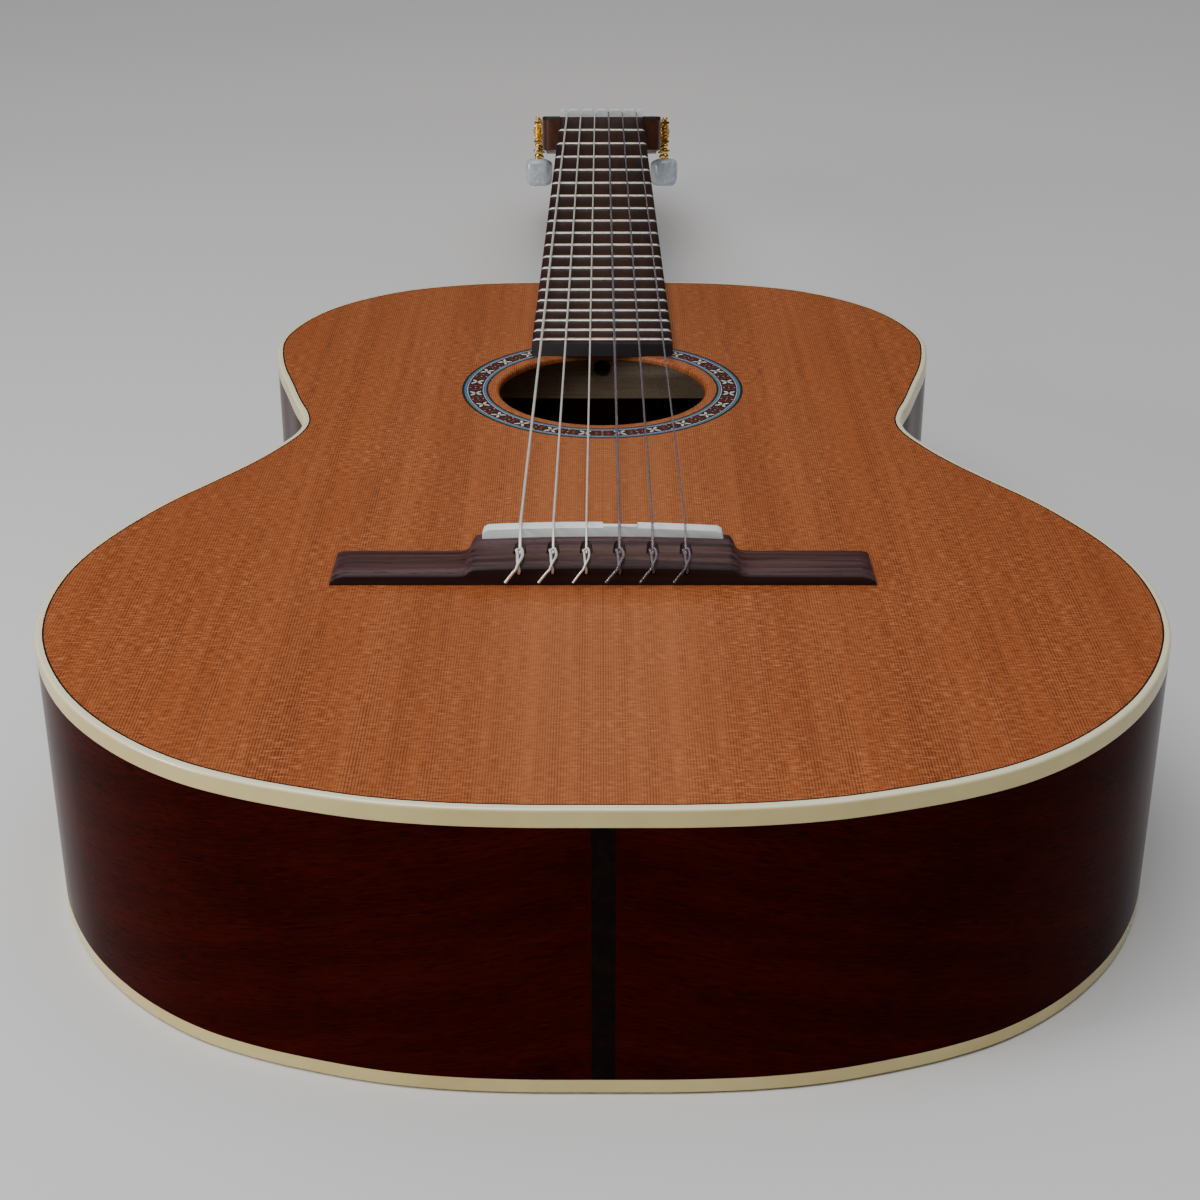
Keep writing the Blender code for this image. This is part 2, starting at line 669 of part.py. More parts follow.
front = [(s - 0.8 if s < 1 else s, x) for s, x in HEAD_OUTLINE]
veneer = solid("head_veneer", *head_prism(front, 0.0, -VENEER_T), ROSEWOOD)
combine(veneer, cut_slots, "DIFFERENCE")
combine(veneer, cut_ramps, "DIFFERENCE")

cap = [(foot, HEEL_FACE + dy) for dy, foot in HEEL_FOOT] + [(0.0, HEEL_FACE + 14.0)]
cap += [(-foot, HEEL_FACE + dy) for dy, foot in reversed(HEEL_FOOT)]
solid("heel_cap", *prism_z(cap, -DEPTH, -DEPTH + CAP_T), ROSEWOOD)

# ---------------------------------------------------------------- tuning machines
CENTRE = WORM_R + GEAR_R      # worm axis to roller axis
PLATE_IN = HEAD_HALF + GAP
PLATE_OUT = PLATE_IN + 1.2
LUG_OUT = WORM_X + 2.3
PLATE_S = (23.0, 118.5)
SHAFT_R = 1.0

for label, sgn in (("bass", -1), ("treble", 1)):
    ends = [(PLATE_S[0], -3.6), (PLATE_S[0], -14.4), (PLATE_S[0] + 2, -16.4), (PLATE_S[1] - 2, -16.4),
            (PLATE_S[1], -14.4), (PLATE_S[1], -3.6), (PLATE_S[1] - 2, -1.6), (PLATE_S[0] + 2, -1.6)]
    a = [head(sgn * PLATE_IN, s, t) for s, t in ends]
    b = [head(sgn * PLATE_OUT, s, t) for s, t in ends]
    plate = solid("plate_" + label, *loft([a, b]), GOLD)
    lugs = []
    holes = []
    necks = []
    for s in ROLLER_S:
        sw = s - CENTRE
        for t0, t1 in ((-3.9, -2.3), (-15.7, -14.1)):
            ring = [(sw - 2.2, t0), (sw + 2.2, t0), (sw + 2.2, t1), (sw - 2.2, t1)]
            x0 = sgn * (PLATE_OUT - 0.6)
            x1 = sgn * LUG_OUT
            lugs.append(loft([[head(x0, p, q) for p, q in ring], [head(x1, p, q) for p, q in ring]]))
        rim = circle(sgn * WORM_X, sw, SHAFT_R + 0.3, 12)
        holes.append(loft([[head(p, q, 1.0) for p, q in rim], [head(p, q, -18.0) for p, q in rim]]))
        necks.append(rod_head(sgn * (PLATE_IN - 1), sgn * (PLATE_OUT + 0.4), s, ROLLER_T, 3.0, 12))
    combine(plate, cutter("add_lugs_" + label, *join_parts(lugs)), "UNION")
    combine(plate, cutter("cut_worm_bores_" + label, *join_parts(holes)), "DIFFERENCE")
    combine(plate, cutter("cut_neck_bores_" + label, *join_parts(necks)), "DIFFERENCE")

SLANT = math.tan(math.radians(20))


def gear_profile():
    """Radius and angle of the wheel teeth, with a tooth space at angle 0."""
    out = []
    for k in range(TEETH):
        mid = 2 * math.pi * (k + 0.5) / TEETH
        tip = 0.8 - 2 * ADD * SLANT
        root = 0.8 + 2 * DED * SLANT
        rt = GEAR_R + ADD
        rr = GEAR_R - DED
        out += [(rr, mid - root / 2 / rr), (rt, mid - tip / 2 / rt), (rt, mid + tip / 2 / rt),
                (rr, mid + root / 2 / rr)]
    return out


LEAD = PITCH / (2 * math.pi * WORM_R)


def roller(sgn, s):
    """Roller with its wheel; the wheel teeth lean to follow the thread."""
    x0 = WORM_X - 2.1
    x1 = WORM_X + 2.1
    shaft = [(4.6, ROLLER_R), (35.6, ROLLER_R), (35.6, 2.6), (x0, 2.6)]
    verts = []
    faces = []
    n = TEETH
    for x, r in shaft:
        for k in range(n):
            a = 2 * math.pi * k / n
            verts.append(head(sgn * x, s - r * math.cos(a), ROLLER_T + r * math.sin(a)))
    for m in range(3):
        for k in range(n):
            j = (k + 1) % n
            faces.append((m * n + k, m * n + j, (m + 1) * n + j, (m + 1) * n + k))
    faces.append(tuple(range(n)))
    prof = gear_profile()
    p = len(prof)
    base = len(verts)
    for x in (x0, x1):
        # angle 0 points back at the worm; positive angles climb the head normal
        twist = -sgn * (x - WORM_X) * LEAD / GEAR_R
        for r, a in prof:
            b = a + twist
            verts.append(head(sgn * x, s - r * math.cos(b), ROLLER_T + r * math.sin(b)))
    for k in range(p):
        j = (k + 1) % p
        faces.append((base + k, base + j, base + p + j, base + p + k))
    faces.append(tuple(base + p + k for k in range(p)))
    inner = 3 * n
    for k in range(n):
        j = (k + 1) % n
        outer = [base + (4 * k + i) % p for i in range(5)]
        outer = [base + (4 * (k - 1) + 3) % p] + outer[:4]
        faces.append(tuple(outer) + (inner + j, inner + k))
    return verts, faces


SEG = 12


def peg_body(sgn, sw):
    """Worm shaft with its thrust ball, collar and grip, turned about the head normal."""
    turned = [(0.75, 0.45), (0.35, 1.25), (-0.4, 1.6), (-1.2, 1.3), (-1.6, SHAFT_R), (-4.3, SHAFT_R),
              (-4.3, WORM_R - DED), (-13.7, WORM_R - DED), (-13.7, SHAFT_R), (-16.2, SHAFT_R),
              (-16.2, 1.7), (-17.6, 1.9), (-18.6, 1.3), (-20.0, 1.5), (-20.2, 3.1), (-21.2, 3.1), (-21.4, 1.5),
              (-22.8, 1.4), (-24.2, 2.0), (-25.4, 1.9)]
    rings = []
    for t, r in turned:
        rings.append([head(sgn * WORM_X + x, sw + y, t) for x, y in circle(0, 0, r, SEG)])
    grip = [(-25.9, 4.4, 3.0), (-27.6, 7.2, 4.2), (-31.0, 8.2, 4.6), (-36.0, 8.1, 4.4), (-40.0, 7.2, 3.7),
            (-42.2, 5.2, 2.6), (-43.0, 2.6, 1.4)]
    for t, a, b in grip:
        ring = []
        for i in range(SEG):
            c = math.cos(2 * math.pi * i / SEG)
            q = math.sin(2 * math.pi * i / SEG)
            x = a * math.copysign(abs(c) ** 0.75, c)
            y = b * math.copysign(abs(q) ** 0.75, q)
            ring.append(head(sgn * WORM_X + x, sw + y, t))
        rings.append(ring)
    return loft(rings)


def thread(sgn, sw):
    """Right-handed thread round the worm, with a crest facing the wheel at its mid height."""
    steps = 10
    turns = 3.8
    base_half = 0.85 / 2 + (DED + 0.12) * SLANT
    tip_half = 0.85 / 2 - ADD * SLANT
    r0 = WORM_R - DED - 0.12
    rings = []
    count = int(steps * turns)
    for i in range(count + 1):
        a = 2 * math.pi * (i - count / 2) / steps
        t = ROLLER_T + PITCH * a / (2 * math.pi)
        fade = min(1.0, i / 3.0, (count - i) / 3.0)
        r1 = r0 + (WORM_R + ADD - r0) * max(0.25, fade)
        # the wheel lies on the +s side; turning from +s towards -x is right-handed about the normal
        dx = -math.sin(a)
        ds = math.cos(a)
        ring = []
        for r, h in ((r0, -base_half), (r1, -tip_half), (r1, tip_half), (r0, base_half)):
            ring.append(head(sgn * WORM_X + r * dx, sw + r * ds, t + h))
        rings.append(ring)
    return loft(rings)


for label, sgn in (("bass", -1), ("treble", 1)):
    for n, s in enumerate(ROLLER_S, 1):
        tag = "%s_%d" % (label, n)
        sw = s - CENTRE
        v, f = roller(sgn, s)
        solid("roller_" + tag, v, f, GOLD, origin=head(sgn * WORM_X, s, ROLLER_T))
        v, f = peg_body(sgn, sw)
        peg = solid("peg_" + tag, v, f, GOLD, origin=head(sgn * WORM_X, sw, ROLLER_T))
        v, f = thread(sgn, sw)
        combine(peg, cutter("add_thread_" + tag, v, f), "UNION")
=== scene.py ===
"""Looks of the classical guitar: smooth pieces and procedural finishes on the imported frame.

Lengths are millimetres in guitar coordinates: x to the treble side, y to the head with 0 at the
saddle, z up from the face of the soundboard. place() turns them into the frame's metres.
"""
import json
from math import atan2, copysign, cos, pi, radians, sin, sqrt

import bmesh
import bpy
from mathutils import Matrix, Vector
from mathutils.geometry import tessellate_polygon


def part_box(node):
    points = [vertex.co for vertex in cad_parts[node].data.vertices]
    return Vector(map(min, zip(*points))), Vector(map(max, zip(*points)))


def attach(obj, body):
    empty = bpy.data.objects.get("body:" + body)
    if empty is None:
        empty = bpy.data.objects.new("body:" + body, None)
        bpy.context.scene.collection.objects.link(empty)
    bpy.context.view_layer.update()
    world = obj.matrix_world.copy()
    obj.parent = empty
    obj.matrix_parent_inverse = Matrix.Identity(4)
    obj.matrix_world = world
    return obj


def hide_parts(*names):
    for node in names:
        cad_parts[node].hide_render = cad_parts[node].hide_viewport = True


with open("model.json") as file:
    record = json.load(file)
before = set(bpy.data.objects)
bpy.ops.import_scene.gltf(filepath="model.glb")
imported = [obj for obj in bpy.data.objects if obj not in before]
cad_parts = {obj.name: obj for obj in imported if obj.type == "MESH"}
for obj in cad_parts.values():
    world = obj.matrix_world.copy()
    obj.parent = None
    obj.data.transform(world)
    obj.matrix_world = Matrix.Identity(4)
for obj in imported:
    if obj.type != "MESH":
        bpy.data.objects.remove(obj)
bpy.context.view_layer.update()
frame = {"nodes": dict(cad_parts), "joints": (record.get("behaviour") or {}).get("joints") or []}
NODES = frame["nodes"]
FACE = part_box("soundboard")[1].z * 1000      # height of the soundboard's face


def place(p):
    return Vector((p[0] * 0.001, p[1] * 0.001, (p[2] + FACE) * 0.001))


def corners(node):
    """Lowest and highest corner of a frame node in guitar millimetres."""
    return [(p.x * 1000, p.y * 1000, p.z * 1000 - FACE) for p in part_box(node)]


# ---------------------------------------------------------------- driving dimensions
BACK = -FACE
BINDING = corners("top_binding")[1][0] - corners("soundboard")[1][0] - 0.3
BIND_TOP = -corners("top_binding")[0][2] - 0.5
BIND_BACK = corners("back_binding")[1][2] - BACK - 0.4
PURFLING = 0.6           # dark line inside the top binding
TOP_T = -corners("soundboard")[0][2]
BACK_T = corners("back_plate")[1][2] - BACK
SIDE_T = 2.0
STRIP_HALF = corners("end_strip")[1][0]
HOLE_R = 43.5
ROSE_OUT = corners("rosette")[1][0]
ROSE_Y = corners("rosette")[1][1] - ROSE_OUT
ROSE_IN = 48.2
BOARD_TOP = corners("fingerboard")[1][2]
BOARD_LOW = corners("fingerboard")[0]
FRETS = 19
SIDES = (("bass", -1), ("treble", 1))
STRINGS = ("e6", "a5", "d4", "g3", "b2", "e1")
STRING_R = (0.55, 0.45, 0.38, 0.51, 0.41, 0.36)
AT_SADDLE = 28.45        # x of the outer strings at the saddle
AT_NUT = 21.5            # x of the outer strings at the nut
SCALE = 650.0
TIE_Z = 4.6              # height of the tie holes
TIE_REAR = corners("bridge")[0][1]
ROLLER_R = 4.6
ROLLER_X = (19.5, 16.0, 12.0)

JOINTS = {joint["name"]: joint for joint in frame["joints"]}
HEAD_UP = Vector(JOINTS["turn_peg_bass_1"]["axis"]).normalized()    # out of the head's face
HEAD_ON = Vector((0, HEAD_UP.z, -HEAD_UP.y))                        # along it, away from the nut


# ---------------------------------------------------------------- shader graphs
def shade(colour, share):
    return tuple(c * share for c in colour)


class Graph:
    """Wires the nodes of one material; calls take numbers or sockets and return a socket."""

    def __init__(self, name, rough=0.4, metal=0.0):
        self.mat = bpy.data.materials.new(name)
        self.mat.use_nodes = True
        self.tree = self.mat.node_tree
        self.shader = self.tree.nodes["Principled BSDF"]
        self.set("Roughness", rough)
        self.set("Metallic", metal)
        self.place = self.node("TexCoord").outputs["Object"]

    def node(self, kind, **settings):
        made = self.tree.nodes.new("ShaderNode" + kind)
        for key, value in settings.items():
            setattr(made, key, value)
        return made

    def put(self, socket, value):
        if isinstance(value, bpy.types.NodeSocket):
            self.tree.links.new(value, socket)
        elif isinstance(value, tuple) and socket.type == "RGBA":
            socket.default_value = (*value, 1.0)
        else:
            socket.default_value = value

    def set(self, name, value):
        self.put(self.shader.inputs[name], value)

    def wire(self, kind, values, **settings):
        """Output of a new node whose first inputs get the values."""
        made = self.node(kind, **settings)
        for socket, value in zip(made.inputs, values):
            self.put(socket, value)
        return made.outputs[0]

    def math(self, kind, a, b=0.0, c=0.0):
        return self.wire("Math", (a, b, c), operation=kind)

    def times(self, a, b):
        return self.math("MULTIPLY", a, b)

    def split(self, vector=None):
        made = self.node("SeparateXYZ")
        self.put(made.inputs[0], vector or self.place)
        return made.outputs

    def join(self, x, y, z=0.0):
        return self.wire("CombineXYZ", (x, y, z))

    def noise(self, vector, detail=2.0, rough=0.5, warp=0.0):
        """Noise at a vector; one number or three in its place scale the object's own place."""
        if isinstance(vector, float):
            vector = (vector, vector, vector)
        if isinstance(vector, tuple):
            vector = self.wire("VectorMath", (self.place, vector), operation="MULTIPLY")
        made = self.node("TexNoise")
        for name, value in (("Vector", vector), ("Scale", 1.0), ("Detail", detail),
                            ("Roughness", rough), ("Distortion", warp)):
            self.put(made.inputs[name], value)
        return made.outputs["Fac"]

    def spread(self, value, low, high, to_low=0.0, to_high=1.0):
        return self.wire("MapRange", (value, low, high, to_low, to_high))

    def mix(self, share, a, b):
        made = self.node("Mix", data_type="RGBA")
        for index, value in ((0, share), (6, a), (7, b)):
            self.put(made.inputs[index], value)
        return made.outputs[2]

    def layer(self, body, share, strength, colour):
        """Body with a colour laid over it: share says where, strength how much at most."""
        return self.mix(self.times(share, strength), body, colour)

    def bump(self, height, strength, distance=0.0003):
        made = self.node("Bump")
        self.put(made.inputs["Strength"], strength)
        self.put(made.inputs["Distance"], distance)
        self.put(made.inputs["Height"], height)
        self.set("Normal", made.outputs["Normal"])


RINGS_CENTRE = 2 * pi * 1250.0       # growth rings: phase per metre at the centre joint
RINGS_SLOW = -2 * pi * 780.0         # and how it falls off towards the edges


def cedar():
    """Straight-grained cedar, book-matched at the centre line, with silk across the grain and a painted glow
    along the centre line.
    """
    g = Graph("cedar")
    x, y, z = g.split()
    ax = g.math("ABSOLUTE", x)
    wander = g.noise(g.join(g.times(ax, 60.0), g.times(y, 2.0)), 2.0)
    rings = g.math("MULTIPLY_ADD", ax, RINGS_SLOW, RINGS_CENTRE)
    phase = g.math("MULTIPLY_ADD", ax, rings, g.times(wander, 12.0))
    ring = g.math("MULTIPLY_ADD", g.math("SINE", phase), 0.5, 0.5)
    late = g.math("POWER", ring, 1.7)
    strength = g.noise(g.join(g.times(ax, 220.0), g.times(y, 3.0)), 2.0)
    late = g.times(late, g.spread(strength, 0.3, 0.7, 0.4, 1.0))
    bands = g.noise(g.join(g.math("MULTIPLY_ADD", ax, 55.0, 7.3), g.times(y, 0.8)), 3.0, 0.6)
    body = g.mix(g.spread(bands, 0.3, 0.7), (0.320, 0.076, 0.017), (0.440, 0.124, 0.036))
    body = g.layer(body, late, 0.9, (0.062, 0.011, 0.003))
    silk = g.noise(g.join(g.times(ax, 300.0), g.times(y, 1000.0)), 2.0, 0.6)
    patch = g.noise((28.0, 17.0, 1.0), 2.0)
    amount = g.times(g.spread(patch, 0.35, 0.7, 0.45, 1.0), g.spread(silk, 0.5, 0.7))
    body = g.layer(body, amount, 0.7, (0.62, 0.22, 0.085))
    dark_silk = g.spread(silk, 0.46, 0.28)
    body = g.layer(body, dark_silk, 0.65, (0.12, 0.024, 0.006))
    # painted highlight: a soft lighter band along the centre line stands in for a lamp's glow on the top
    centre = g.spread(g.math("ADD", ax, g.times(bands, 0.02)), 0.05, 0.03)
    body = g.layer(body, centre, 0.16, (0.50, 0.18, 0.065))
    seam = g.spread(ax, 0.00025, 0.0)
    body = g.layer(body, seam, 0.45, (0.2, 0.05, 0.015))
    g.set("Base Color", body)
    g.set("Roughness", g.spread(late, 0.0, 1.0, 0.36, 0.48))
    g.set("Specular IOR Level", 0.28)
    g.bump(g.math("MULTIPLY_ADD", silk, 0.4, late), 0.12, 0.00008)
    return g.mat


def mahogany(name, light, dark, rough, length="y", uv=False, gloss=0.5, tilt=0.22):
    """Mahogany with a soft ribbon figure, short dark pores along the grain and bright flecks between them
    painted as glints.
    """
    g = Graph(name, rough)
    place_from = g.node("UVMap", uv_map="grain").outputs[0] if uv else g.place
    x, y, z = g.split(place_from)
    if uv:
        along, across, third = x, g.math("MULTIPLY_ADD", x, tilt, y), 0.0
    elif length == "y":
        along, across, third = y, g.math("ABSOLUTE", x), z
    else:
        along, across, third = x, y, z

    def field(a, b, detail=2.0):
        deep = g.times(third, b)
        return g.noise(g.join(g.times(along, a), g.times(across, b), deep), detail, 0.55)

    ribbon = field(7.0, 85.0, 3.0)
    body = g.mix(g.spread(ribbon, 0.34, 0.66), tuple((a + b) / 2 for a, b in zip(light, dark)), light)
    cloud = field(14.0, 22.0)
    body = g.layer(body, g.spread(cloud, 0.5, 0.72), 0.45, dark)
    fine = field(80.0, 1100.0)
    body = g.layer(body, g.spread(fine, 0.42, 0.7), 0.5, shade(dark, 0.5))
    pores = field(210.0, 2100.0, 1.0)
    pore = g.spread(pores, 0.60, 0.70)
    body = g.layer(body, pore, 0.7, shade(dark, 0.15))
    # painted highlight: bright flecks between the pores stand in for glints of the finish
    shine = g.spread(pores, 0.40, 0.30)
    body = g.layer(body, shine, 0.35, tuple(min(1.0, c * 1.8) for c in light))
    g.set("Base Color", body)
    g.set("Specular IOR Level", gloss)
    g.bump(g.math("SUBTRACT", 1.0, pore), 0.06, 0.00005)
    return g.mat


def rosewood(name, length, light, dark, rough=0.42, gloss=0.4, end=None):
    """Dark open-grained rosewood with streaks along one axis; end paints the faces turned to the tail another
    colour, as painted light or shade.
    """
    g = Graph(name, rough)
    x, y, z = g.split()
    along, across = (x, y) if length == "x" else (y, x)

    def field(a, b, *settings):
        return g.noise(g.join(g.times(along, a), g.times(across, b), g.times(z, b)), *settings)

    streak = field(10.0, 330.0, 4.0, 0.62, 0.35)
    body = g.mix(g.spread(streak, 0.36, 0.66), dark, light)
    broad = field(5.0, 90.0, 2.0)
    body = g.layer(body, g.spread(broad, 0.5, 0.75), 0.5, shade(dark, 0.5))
    pores = field(240.0, 2500.0, 1.0)
    pore = g.spread(pores, 0.62, 0.7)
    body = g.layer(body, pore, 0.75, shade(dark, 0.25))
    # painted light and shade: faces turned to the tail take the end colour in place of the light or shade
    # they catch
    if end:
        to_head = g.split(g.node("NewGeometry").outputs["Normal"])[1]
        body = g.mix(g.spread(to_head, -0.5, -0.9, 0.0, 0.85), body, end)
    g.set("Base Color", body)
    g.set("Roughness", g.spread(streak, 0.3, 0.7, rough - 0.06, rough + 0.08))
    g.set("Specular IOR Level", gloss)
    g.bump(g.math("SUBTRACT", streak, pore), 0.1, 0.00008)
    return g.mat


def spruce():
    """Pale brace wood with fine grain along its length."""
    g = Graph("spruce", 0.6)
    line = g.noise((30.0, 900.0, 900.0), 2.0)
    line2 = g.noise((900.0, 30.0, 900.0), 2.0)
    both = g.math("MAXIMUM", line, line2)
    g.set("Base Color", g.mix(g.spread(both, 0.45, 0.75), (0.68, 0.56, 0.40), (0.50, 0.37, 0.24)))
    g.bump(both, 0.1, 0.0001)
    return g.mat


def moulded(name, light, dark, rough, size, waxy=0.0, gloss=0.5):
    """Cut or moulded stuff with a faint cloud of tone and a slightly uneven polish."""
    g = Graph(name, rough)
    cloud = g.noise(size, 3.0, 0.6)
    g.set("Base Color", g.mix(g.spread(cloud, 0.35, 0.65), dark, light))
    fine = g.noise(2500.0, 2.0)
    g.set("Roughness", g.spread(fine, 0.3, 0.7, rough * 0.85, rough * 1.2))
    g.set("Specular IOR Level", gloss)
    g.set("Subsurface Weight", waxy)
    g.set("Subsurface Radius", (0.002, 0.0015, 0.001))
    g.bump(fine, 0.03, 0.00005)
    return g.mat


def cream_binding():
    """Cream plastic with painted light: paler where its rounded crest looks up as a painted highlight, deeper
    on the upright faces as painted shade.
    """
    g = Graph("cream_binding", 0.2)
    up = g.split(g.node("NewGeometry").outputs["Normal"])[2]
    cloud = g.noise(25.0, 3.0, 0.6)
    face = g.mix(g.spread(cloud, 0.35, 0.65), (0.65, 0.51, 0.19), (0.76, 0.62, 0.26))
    # painted highlight on faces that look up, painted shade on the upright faces
    g.set("Base Color", g.mix(g.spread(up, 0.1, 0.7), face, (0.93, 0.86, 0.60)))
    fine = g.noise(2500.0, 2.0)
    g.set("Roughness", g.spread(fine, 0.3, 0.7, 0.17, 0.25))
    g.set("Specular IOR Level", 1.0)
    g.bump(fine, 0.03, 0.00005)
    return g.mat


def metal(name, colour, rough, brushed):
    """Polished metal with fine wear along one axis."""
    g = Graph(name, rough, 1.0)
    wear = g.noise(brushed, 3.0, 0.7)
    stain = g.noise(400.0, 2.0)
    g.set("Base Color", g.mix(g.spread(stain, 0.4, 0.75), colour, shade(colour, 0.78)))
    g.set("Roughness", g.spread(wear, 0.3, 0.75, rough, rough + 0.16))
    g.bump(wear, 0.04, 0.00005)
    return g.mat


def pearloid():
    """Swirled pearl plastic of the tuner buttons."""
    g = Graph("pearloid", 0.16)
    swirl = g.noise((170.0, 170.0, 120.0), 3.0, 0.6, 2.2)
    flake = g.noise((620.0, 620.0, 340.0), 2.0, 0.5, 1.4)
    body = g.mix(g.spread(swirl, 0.3, 0.7), (0.40, 0.46, 0.53), (0.62, 0.68, 0.74))
    body = g.layer(body, g.spread(flake, 0.5, 0.72), 0.5, (0.80, 0.84, 0.88))
    g.set("Base Color", body)
    g.set("Subsurface Weight", 0.15)
    g.set("Subsurface Radius", (0.002, 0.002, 0.002))
    g.set("Coat Weight", 0.5)
    g.set("Coat Roughness", 0.06)
    return g.mat


def wound_wire():
    """Silver-plated winding of the bass strings: close turns seen as fine ribs, with painted shade between
    them.
    """
    g = Graph("wound_wire", 0.3, 0.4)
    y = g.split()[1]
    turn = g.math("MULTIPLY_ADD", g.math("SINE", g.times(y, 2 * pi / 0.00032)), 0.5, 0.5)
    tone = g.noise((30.0, 260.0, 30.0), 2.0)
    silver = g.mix(g.spread(tone, 0.35, 0.7), (0.98, 0.97, 0.92), (0.88, 0.86, 0.80))
    # painted shade: the colour darkens in the grooves between the turns
    g.set("Base Color", g.layer(silver, g.spread(turn, 0.35, 0.0), 0.25, (0.5, 0.47, 0.42)))
    g.bump(turn, 0.12, 0.00005)
    return g.mat


def nylon():
    """Clear nylon of the treble strings."""
    g = Graph("nylon", 0.14)
    cloud = g.noise((200.0, 60.0, 200.0), 2.0)
    g.set("Base Color", g.mix(cloud, (0.36, 0.32, 0.37), (0.50, 0.46, 0.52)))
    g.set("Transmission Weight", 0.72)
    g.set("IOR", 1.53)
    return g.mat


def blue_line():
    """Dyed line of the rosette, drifting between blue and green."""
    g = Graph("rosette_blue", 0.35)
    drift = g.noise(45.0, 2.0)
    fleck = g.noise(900.0, 1.0)
    body = g.mix(g.spread(drift, 0.38, 0.62), (0.016, 0.14, 0.34), (0.02, 0.19, 0.21))
    g.set("Base Color", g.layer(body, fleck, 0.3, (0.08, 0.30, 0.46)))
    return g.mat


def pale_floor():
    g = Graph("pale_floor", 0.75)
    cloud = g.noise(3.0, 2.0)
    g.set("Base Color", g.mix(cloud, (0.76, 0.76, 0.77), (0.80, 0.80, 0.81)))
    return g.mat


CEDAR = cedar()
SIDE_WOOD = mahogany("side_mahogany", (0.046, 0.0030, 0.0010), (0.013, 0.0009, 0.0005), 0.2, uv=True,
                     gloss=0.010)
BACK_WOOD = mahogany("back_mahogany", (0.130, 0.012, 0.004), (0.055, 0.005, 0.002), 0.24, gloss=0.2)
NECK_WOOD = mahogany("neck_mahogany", (0.074, 0.021, 0.009), (0.037, 0.010, 0.0045), 0.42, gloss=0.25)
BLOCK_WOOD = mahogany("block_mahogany", (0.26, 0.055, 0.035), (0.15, 0.030, 0.020), 0.6, "x")
# painted shade: the bridge's faces turned to the tail are painted darker
BRIDGE_WOOD = rosewood("bridge_rosewood", "x", (0.112, 0.056, 0.060), (0.025, 0.012, 0.013), gloss=0.25,
                       end=(0.016, 0.008, 0.008))
# painted reflection: the fingerboard's end and other faces turned to the tail are painted a pale blue-grey
BOARD_WOOD = rosewood("board_rosewood", "y", (0.042, 0.015, 0.012), (0.012, 0.005, 0.0045), 0.5, 0.1,
                      end=(0.046, 0.044, 0.048))
SPRUCE = spruce()
CREAM = cream_binding()
BONE = moulded("bone", (0.84, 0.89, 0.89), (0.76, 0.82, 0.83), 0.3, 160.0, waxy=0.05)
EBONY = moulded("black_dyed_wood", (0.016, 0.008, 0.008), (0.007, 0.004, 0.004), 0.4, 300.0, gloss=0.2)
STRIP_WOOD = moulded("end_strip_wood", (0.008, 0.003, 0.002), (0.003, 0.001, 0.001), 0.25, 300.0, gloss=0.03)
NICKEL = metal("fret_nickel", (0.60, 0.59, 0.58), 0.22, (60.0, 2500.0, 2500.0))
GOLD = metal("tuner_gold", (0.95, 0.64, 0.22), 0.13, (900.0, 900.0, 200.0))
PEARL = pearloid()
WOUND = wound_wire()
NYLON = nylon()
TILE_WHITE = moulded("mosaic_white", (0.66, 0.67, 0.64), (0.50, 0.51, 0.49), 0.4, 700.0, gloss=0.2)
TILE_RED = moulded("mosaic_red", (0.13, 0.010, 0.020), (0.07, 0.005, 0.011), 0.4, 700.0, gloss=0.2)
TILE_PINK = moulded("mosaic_pink", (0.50, 0.30, 0.30), (0.36, 0.20, 0.20), 0.4, 700.0, gloss=0.2)
LINE_WHITE = moulded("rosette_white", (0.56, 0.53, 0.62), (0.45, 0.42, 0.51), 0.4, 500.0, gloss=0.2)
LINE_DEEP = moulded("rosette_deep_blue", (0.03, 0.09, 0.26), (0.02, 0.05, 0.16), 0.4, 500.0)
LINE_BLUE = blue_line()


# ---------------------------------------------------------------- mesh helpers
def add_object(name, data):
    obj = bpy.data.objects.new(name, data)
    bpy.context.scene.collection.objects.link(obj)
    return obj


def shape_object(name, shape):
    """Object from (verts, faces) in guitar millimetres, its faces turned outwards."""
    verts, faces = shape
    mesh = bpy.data.meshes.new(name)
    mesh.from_pydata([place(v) for v in verts], [], faces)
    bm = bmesh.new()
    bm.from_mesh(mesh)
    bmesh.ops.recalc_face_normals(bm, faces=bm.faces)
    bm.to_mesh(mesh)
    bm.free()
    return add_object(name, mesh)


def piece(name, shape, look, body="guitar", replaces=(), sharp=35.0, grain=None):
    """One shown piece: its material, its body, and the frame nodes it stands in for."""
    obj = shape_object(name, shape)
    mesh = obj.data
    if grain is not None:
        layer = mesh.uv_layers.new(name="grain")
        for loop in mesh.loops:
            layer.data[loop.index].uv = grain[loop.vertex_index]
    mesh.shade_smooth()
    mesh.set_sharp_from_angle(angle=radians(sharp))
    mesh.materials.append(look)
    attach(obj, body)
    if replaces:
        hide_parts(*replaces)
    return obj


def soften(obj, width, segments=2, angle=28.0):
    """Round off the edges of a piece or a frame node by a few tenths of a millimetre."""
    mod = obj.modifiers.new("edge", "BEVEL")
    mod.width = width * 0.001
    mod.segments = segments
    mod.limit_method = "ANGLE"
    mod.angle_limit = radians(angle)
    return obj


